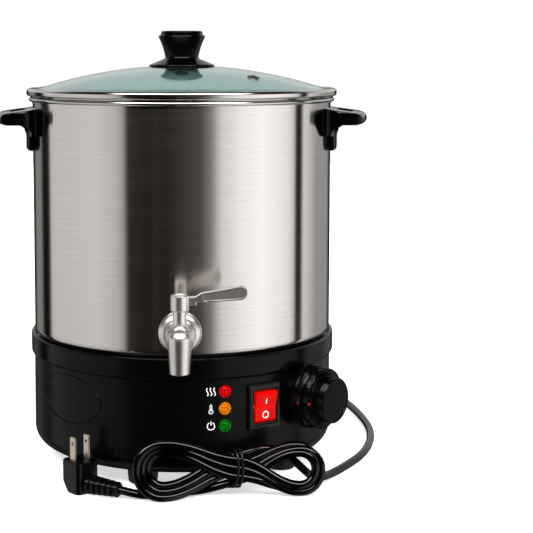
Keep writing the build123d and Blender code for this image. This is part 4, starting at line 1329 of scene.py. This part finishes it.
@dataclass(frozen=True)
class Panels:
    """Lit panels round the object, as brightness by direction.

    Attributes:
        turn: brightness by azimuth, from the front towards the right, in degrees.
        rise: brightness by the upward part of the direction, from -1 to 1.
        strength: how strongly a brightness of 1 lights.
        tinted: whether dim panels are brown.
        brown: tint of the dimmest panels.
        cream: tint of the others.
        cream_from: share of the brightest panel from which they are cream.
    """

    turn: Pairs
    rise: Pairs
    strength: float = 1.0
    tinted: bool = False
    brown: tuple[float, float, float, float] = (1.0, 0.62, 0.40, 1.0)
    cream: tuple[float, float, float, float] = (1.0, 0.99, 0.98, 1.0)
    cream_from: float = 0.12

    def light(self, tree: bpy.types.NodeTree, share: Socket, height: Socket) -> Socket:
        """Add the panels to the world's nodes.

        Args:
            tree: the world's nodes.
            share: azimuth, from 0 to 1 once round from the back.
            height: upward part of the direction, from 0 to 1.

        Returns:
            The panels' light.
        """
        peak = max(value for _, value in self.turn)
        across = fill_ramp(add_node(tree, "ShaderNodeValToRGB", links={"Fac": share}),
                           [((a + 180.0) / 360.0, v / peak) for a, v in self.turn])
        upward = fill_ramp(add_node(tree, "ShaderNodeValToRGB", links={"Fac": height}),
                           [((z + 1.0) / 2.0, v) for z, v in self.rise])
        light = add_node(tree, "ShaderNodeMix", MULTIPLY,
                         {6: across.outputs["Color"], 7: upward.outputs["Color"]})
        if self.tinted:
            warmth = add_node(tree, "ShaderNodeMapRange", {"From Max": self.cream_from},
                              {"Value": across.outputs["Color"]})
            tint = add_node(tree, "ShaderNodeMix", MIX | {6: self.brown, 7: self.cream},
                            {0: warmth.outputs["Result"]})
            light = add_node(tree, "ShaderNodeMix", MULTIPLY,
                             {6: light.outputs[2], 7: tint.outputs[2]})
        glow = add_node(tree, "ShaderNodeBackground", {"Strength": self.strength * peak},
                        {"Color": light.outputs[2]})
        return glow.outputs[0]


@dataclass
class Studio:
    """White paper, a surround of soft panels, one soft lamp and the camera.

    Attributes:
        camera_at: the camera's place, in metres.
        camera_pitch: how far it looks down, in degrees.
        camera_yaw: how far it looks to the right, in degrees.
        lens: its focal length.
        sensor: its sensor's width.
        shift: how far its frame is shifted, across and up.
        paper_half: half of the paper's side, in metres.
        lamp_at: the lamp's place, in metres.
        lamp_aim: where it points.
        lamp_size: its side.
        lamp_power: its power in watts.
        belt: upright panels all round, which the steel mirrors.
        box: softbox over the camera.
        cove: white cove behind the object, which the glass mirrors at a low angle.
    """

    camera_at: tuple[float, float, float] = (0.0070, -1.1709, 0.3400)
    camera_pitch: float = 5.351
    camera_yaw: float = 0.949
    lens: float = 93.60
    sensor: float = 36.0
    shift: tuple[float, float] = (0.1, -0.16)
    paper_half: float = 3.0
    lamp_at: tuple[float, float, float] = (-0.5, -1.0, 1.5)
    lamp_aim: tuple[float, float, float] = (0.0, 0.0, 0.12)
    lamp_size: float = 0.8
    lamp_power: float = 6.0
    belt: Panels = Panels(
        ((-180.0, 0.0), (-160.0, 0.0), (-150.0, 0.25), (-138.0, 0.25), (-133.0, 0.0),
         (-122.0, 0.0), (-118.0, 0.74), (-90.0, 0.80), (-66.0, 0.86), (-50.0, 0.68), (-45.0, 0.5),
         (-41.0, 0.02), (-24.0, 0.0), (-19.0, 0.015), (-15.0, 0.0), (-9.0, 0.01), (2.0, 0.04),
         (14.0, 0.08), (22.0, 0.26), (30.0, 0.95), (48.0, 1.35), (64.0, 1.5), (88.0, 1.15),
         (94.0, 0.85), (97.0, 0.0), (103.0, 0.0), (106.0, 0.95), (125.0, 0.4), (150.0, 0.35),
         (160.0, 0.0), (180.0, 0.0)),
        ((-1.0, 0.6), (-0.5, 0.6), (-0.24, 0.9), (-0.18, 1.0), (0.08, 1.0), (0.2, 0.05),
         (1.0, 0.0)), tinted=True)
    box: Panels = Panels(
        ((-180.0, 0.0), (-62.0, 0.0), (-54.0, 1.0), (54.0, 1.0), (62.0, 0.0), (180.0, 0.0)),
        ((-1.0, 0.0), (0.56, 0.0), (0.60, 1.0), (0.76, 1.0), (0.80, 0.0), (1.0, 0.0)),
        strength=13.0)
    cove: Panels = Panels(
        ((-180.0, 1.0), (-125.0, 1.0), (-105.0, 0.0), (105.0, 0.0), (125.0, 1.0), (180.0, 1.0)),
        ((-1.0, 0.0), (0.03, 0.0), (0.08, 1.0), (0.55, 1.0), (0.75, 0.0), (1.0, 0.0)),
        strength=0.65)

    def floor(self) -> None:
        """Lay the white paper."""
        corners = [Vector((x * self.paper_half, y * self.paper_half, 0.0))
                   for x, y in ((-1, -1), (1, -1), (1, 1), (-1, 1))]
        mesh = mesh_of("studio_paper", corners, [(0, 1, 2, 3)])
        paper = bpy.data.objects.new("studio_paper", mesh)
        bpy.context.scene.collection.objects.link(paper)
        mesh.materials.append(material(PAPER))
        paper.visible_glossy = False

    def surround(self) -> None:
        """Light the world with panels all round, and show plain white behind the object."""
        world = bpy.data.worlds.new("studio surround")
        world.use_nodes = True
        bpy.context.scene.world = world
        tree = world.node_tree
        tree.nodes.clear()
        place = add_node(tree, "ShaderNodeTexCoord")
        axes = add_node(tree, "ShaderNodeSeparateXYZ", links={0: place.outputs["Generated"]})
        front = add_node(tree, "ShaderNodeMath", {"operation": "MULTIPLY", 1: -1.0},
                         {0: axes.outputs["Y"]})
        azimuth = add_node(tree, "ShaderNodeMath", {"operation": "ARCTAN2"},
                           {0: axes.outputs["X"], 1: front.outputs[0]})
        share = add_node(tree, "ShaderNodeMapRange", {"From Min": -pi, "From Max": pi},
                         {"Value": azimuth.outputs[0]})
        height = add_node(tree, "ShaderNodeMapRange", {"From Min": -1.0},
                          {"Value": axes.outputs["Z"]})
        belt, box, cove = (panels.light(tree, share.outputs["Result"], height.outputs["Result"])
                           for panels in (self.belt, self.box, self.cove))
        two = add_node(tree, "ShaderNodeAddShader", links={0: belt, 1: box})
        lit = add_node(tree, "ShaderNodeAddShader", links={0: two.outputs[0], 1: cove})
        path = add_node(tree, "ShaderNodeLightPath")
        seen = add_node(tree, "ShaderNodeMath", {"operation": "MAXIMUM"},
                        {i: path.outputs[ray.value] for i, ray in enumerate(Ray)})
        white = add_node(tree, "ShaderNodeBackground", {"Color": WHITE})
        both = add_node(tree, "ShaderNodeMixShader",
                        links={0: seen.outputs[0], 1: lit.outputs[0], 2: white.outputs[0]})
        add_node(tree, "ShaderNodeOutputWorld", links={"Surface": both.outputs[0]})

    def lamp(self) -> None:
        """Hang one large soft lamp over the camera, which lays faint shadows and isn't mirrored."""
        data = bpy.data.lights.new("key_lamp", "AREA")
        data.shape = "SQUARE"
        data.size = self.lamp_size
        data.energy = self.lamp_power
        light = bpy.data.objects.new("key_lamp", data)
        bpy.context.scene.collection.objects.link(light)
        light.location = self.lamp_at
        aim = Vector(self.lamp_aim) - light.location
        light.rotation_euler = aim.to_track_quat("-Z", "Y").to_euler()
        light.visible_glossy = False

    def camera(self) -> None:
        """Set the camera in front, a little above the lid."""
        data = bpy.data.cameras.new("camera")
        data.lens = self.lens
        data.sensor_width = self.sensor
        data.shift_x, data.shift_y = self.shift
        camera = bpy.data.objects.new("camera", data)
        bpy.context.scene.collection.objects.link(camera)
        camera.location = self.camera_at
        camera.rotation_euler = (radians(90.0 - self.camera_pitch), 0.0, -radians(self.camera_yaw))
        bpy.context.scene.camera = camera

    def build(self) -> None:
        """Set up the whole studio."""
        self.floor()
        self.surround()
        self.lamp()
        self.camera()
        bpy.context.scene.view_settings.view_transform = "Standard"


def main() -> None:
    """Build and dress every sub-assembly in order."""
    logging.basicConfig(level=logging.INFO, format="%(name)s: %(message)s")
    for assembly in (HeatingBase(), SteelTank(), GlassLid(), SideHandles(), LeverTap(), Controls(),
                     MainsLead(), Studio()):
        LOG.info("building %s", type(assembly).__name__)
        assembly.build()


if __name__ == "__main__":
    main()
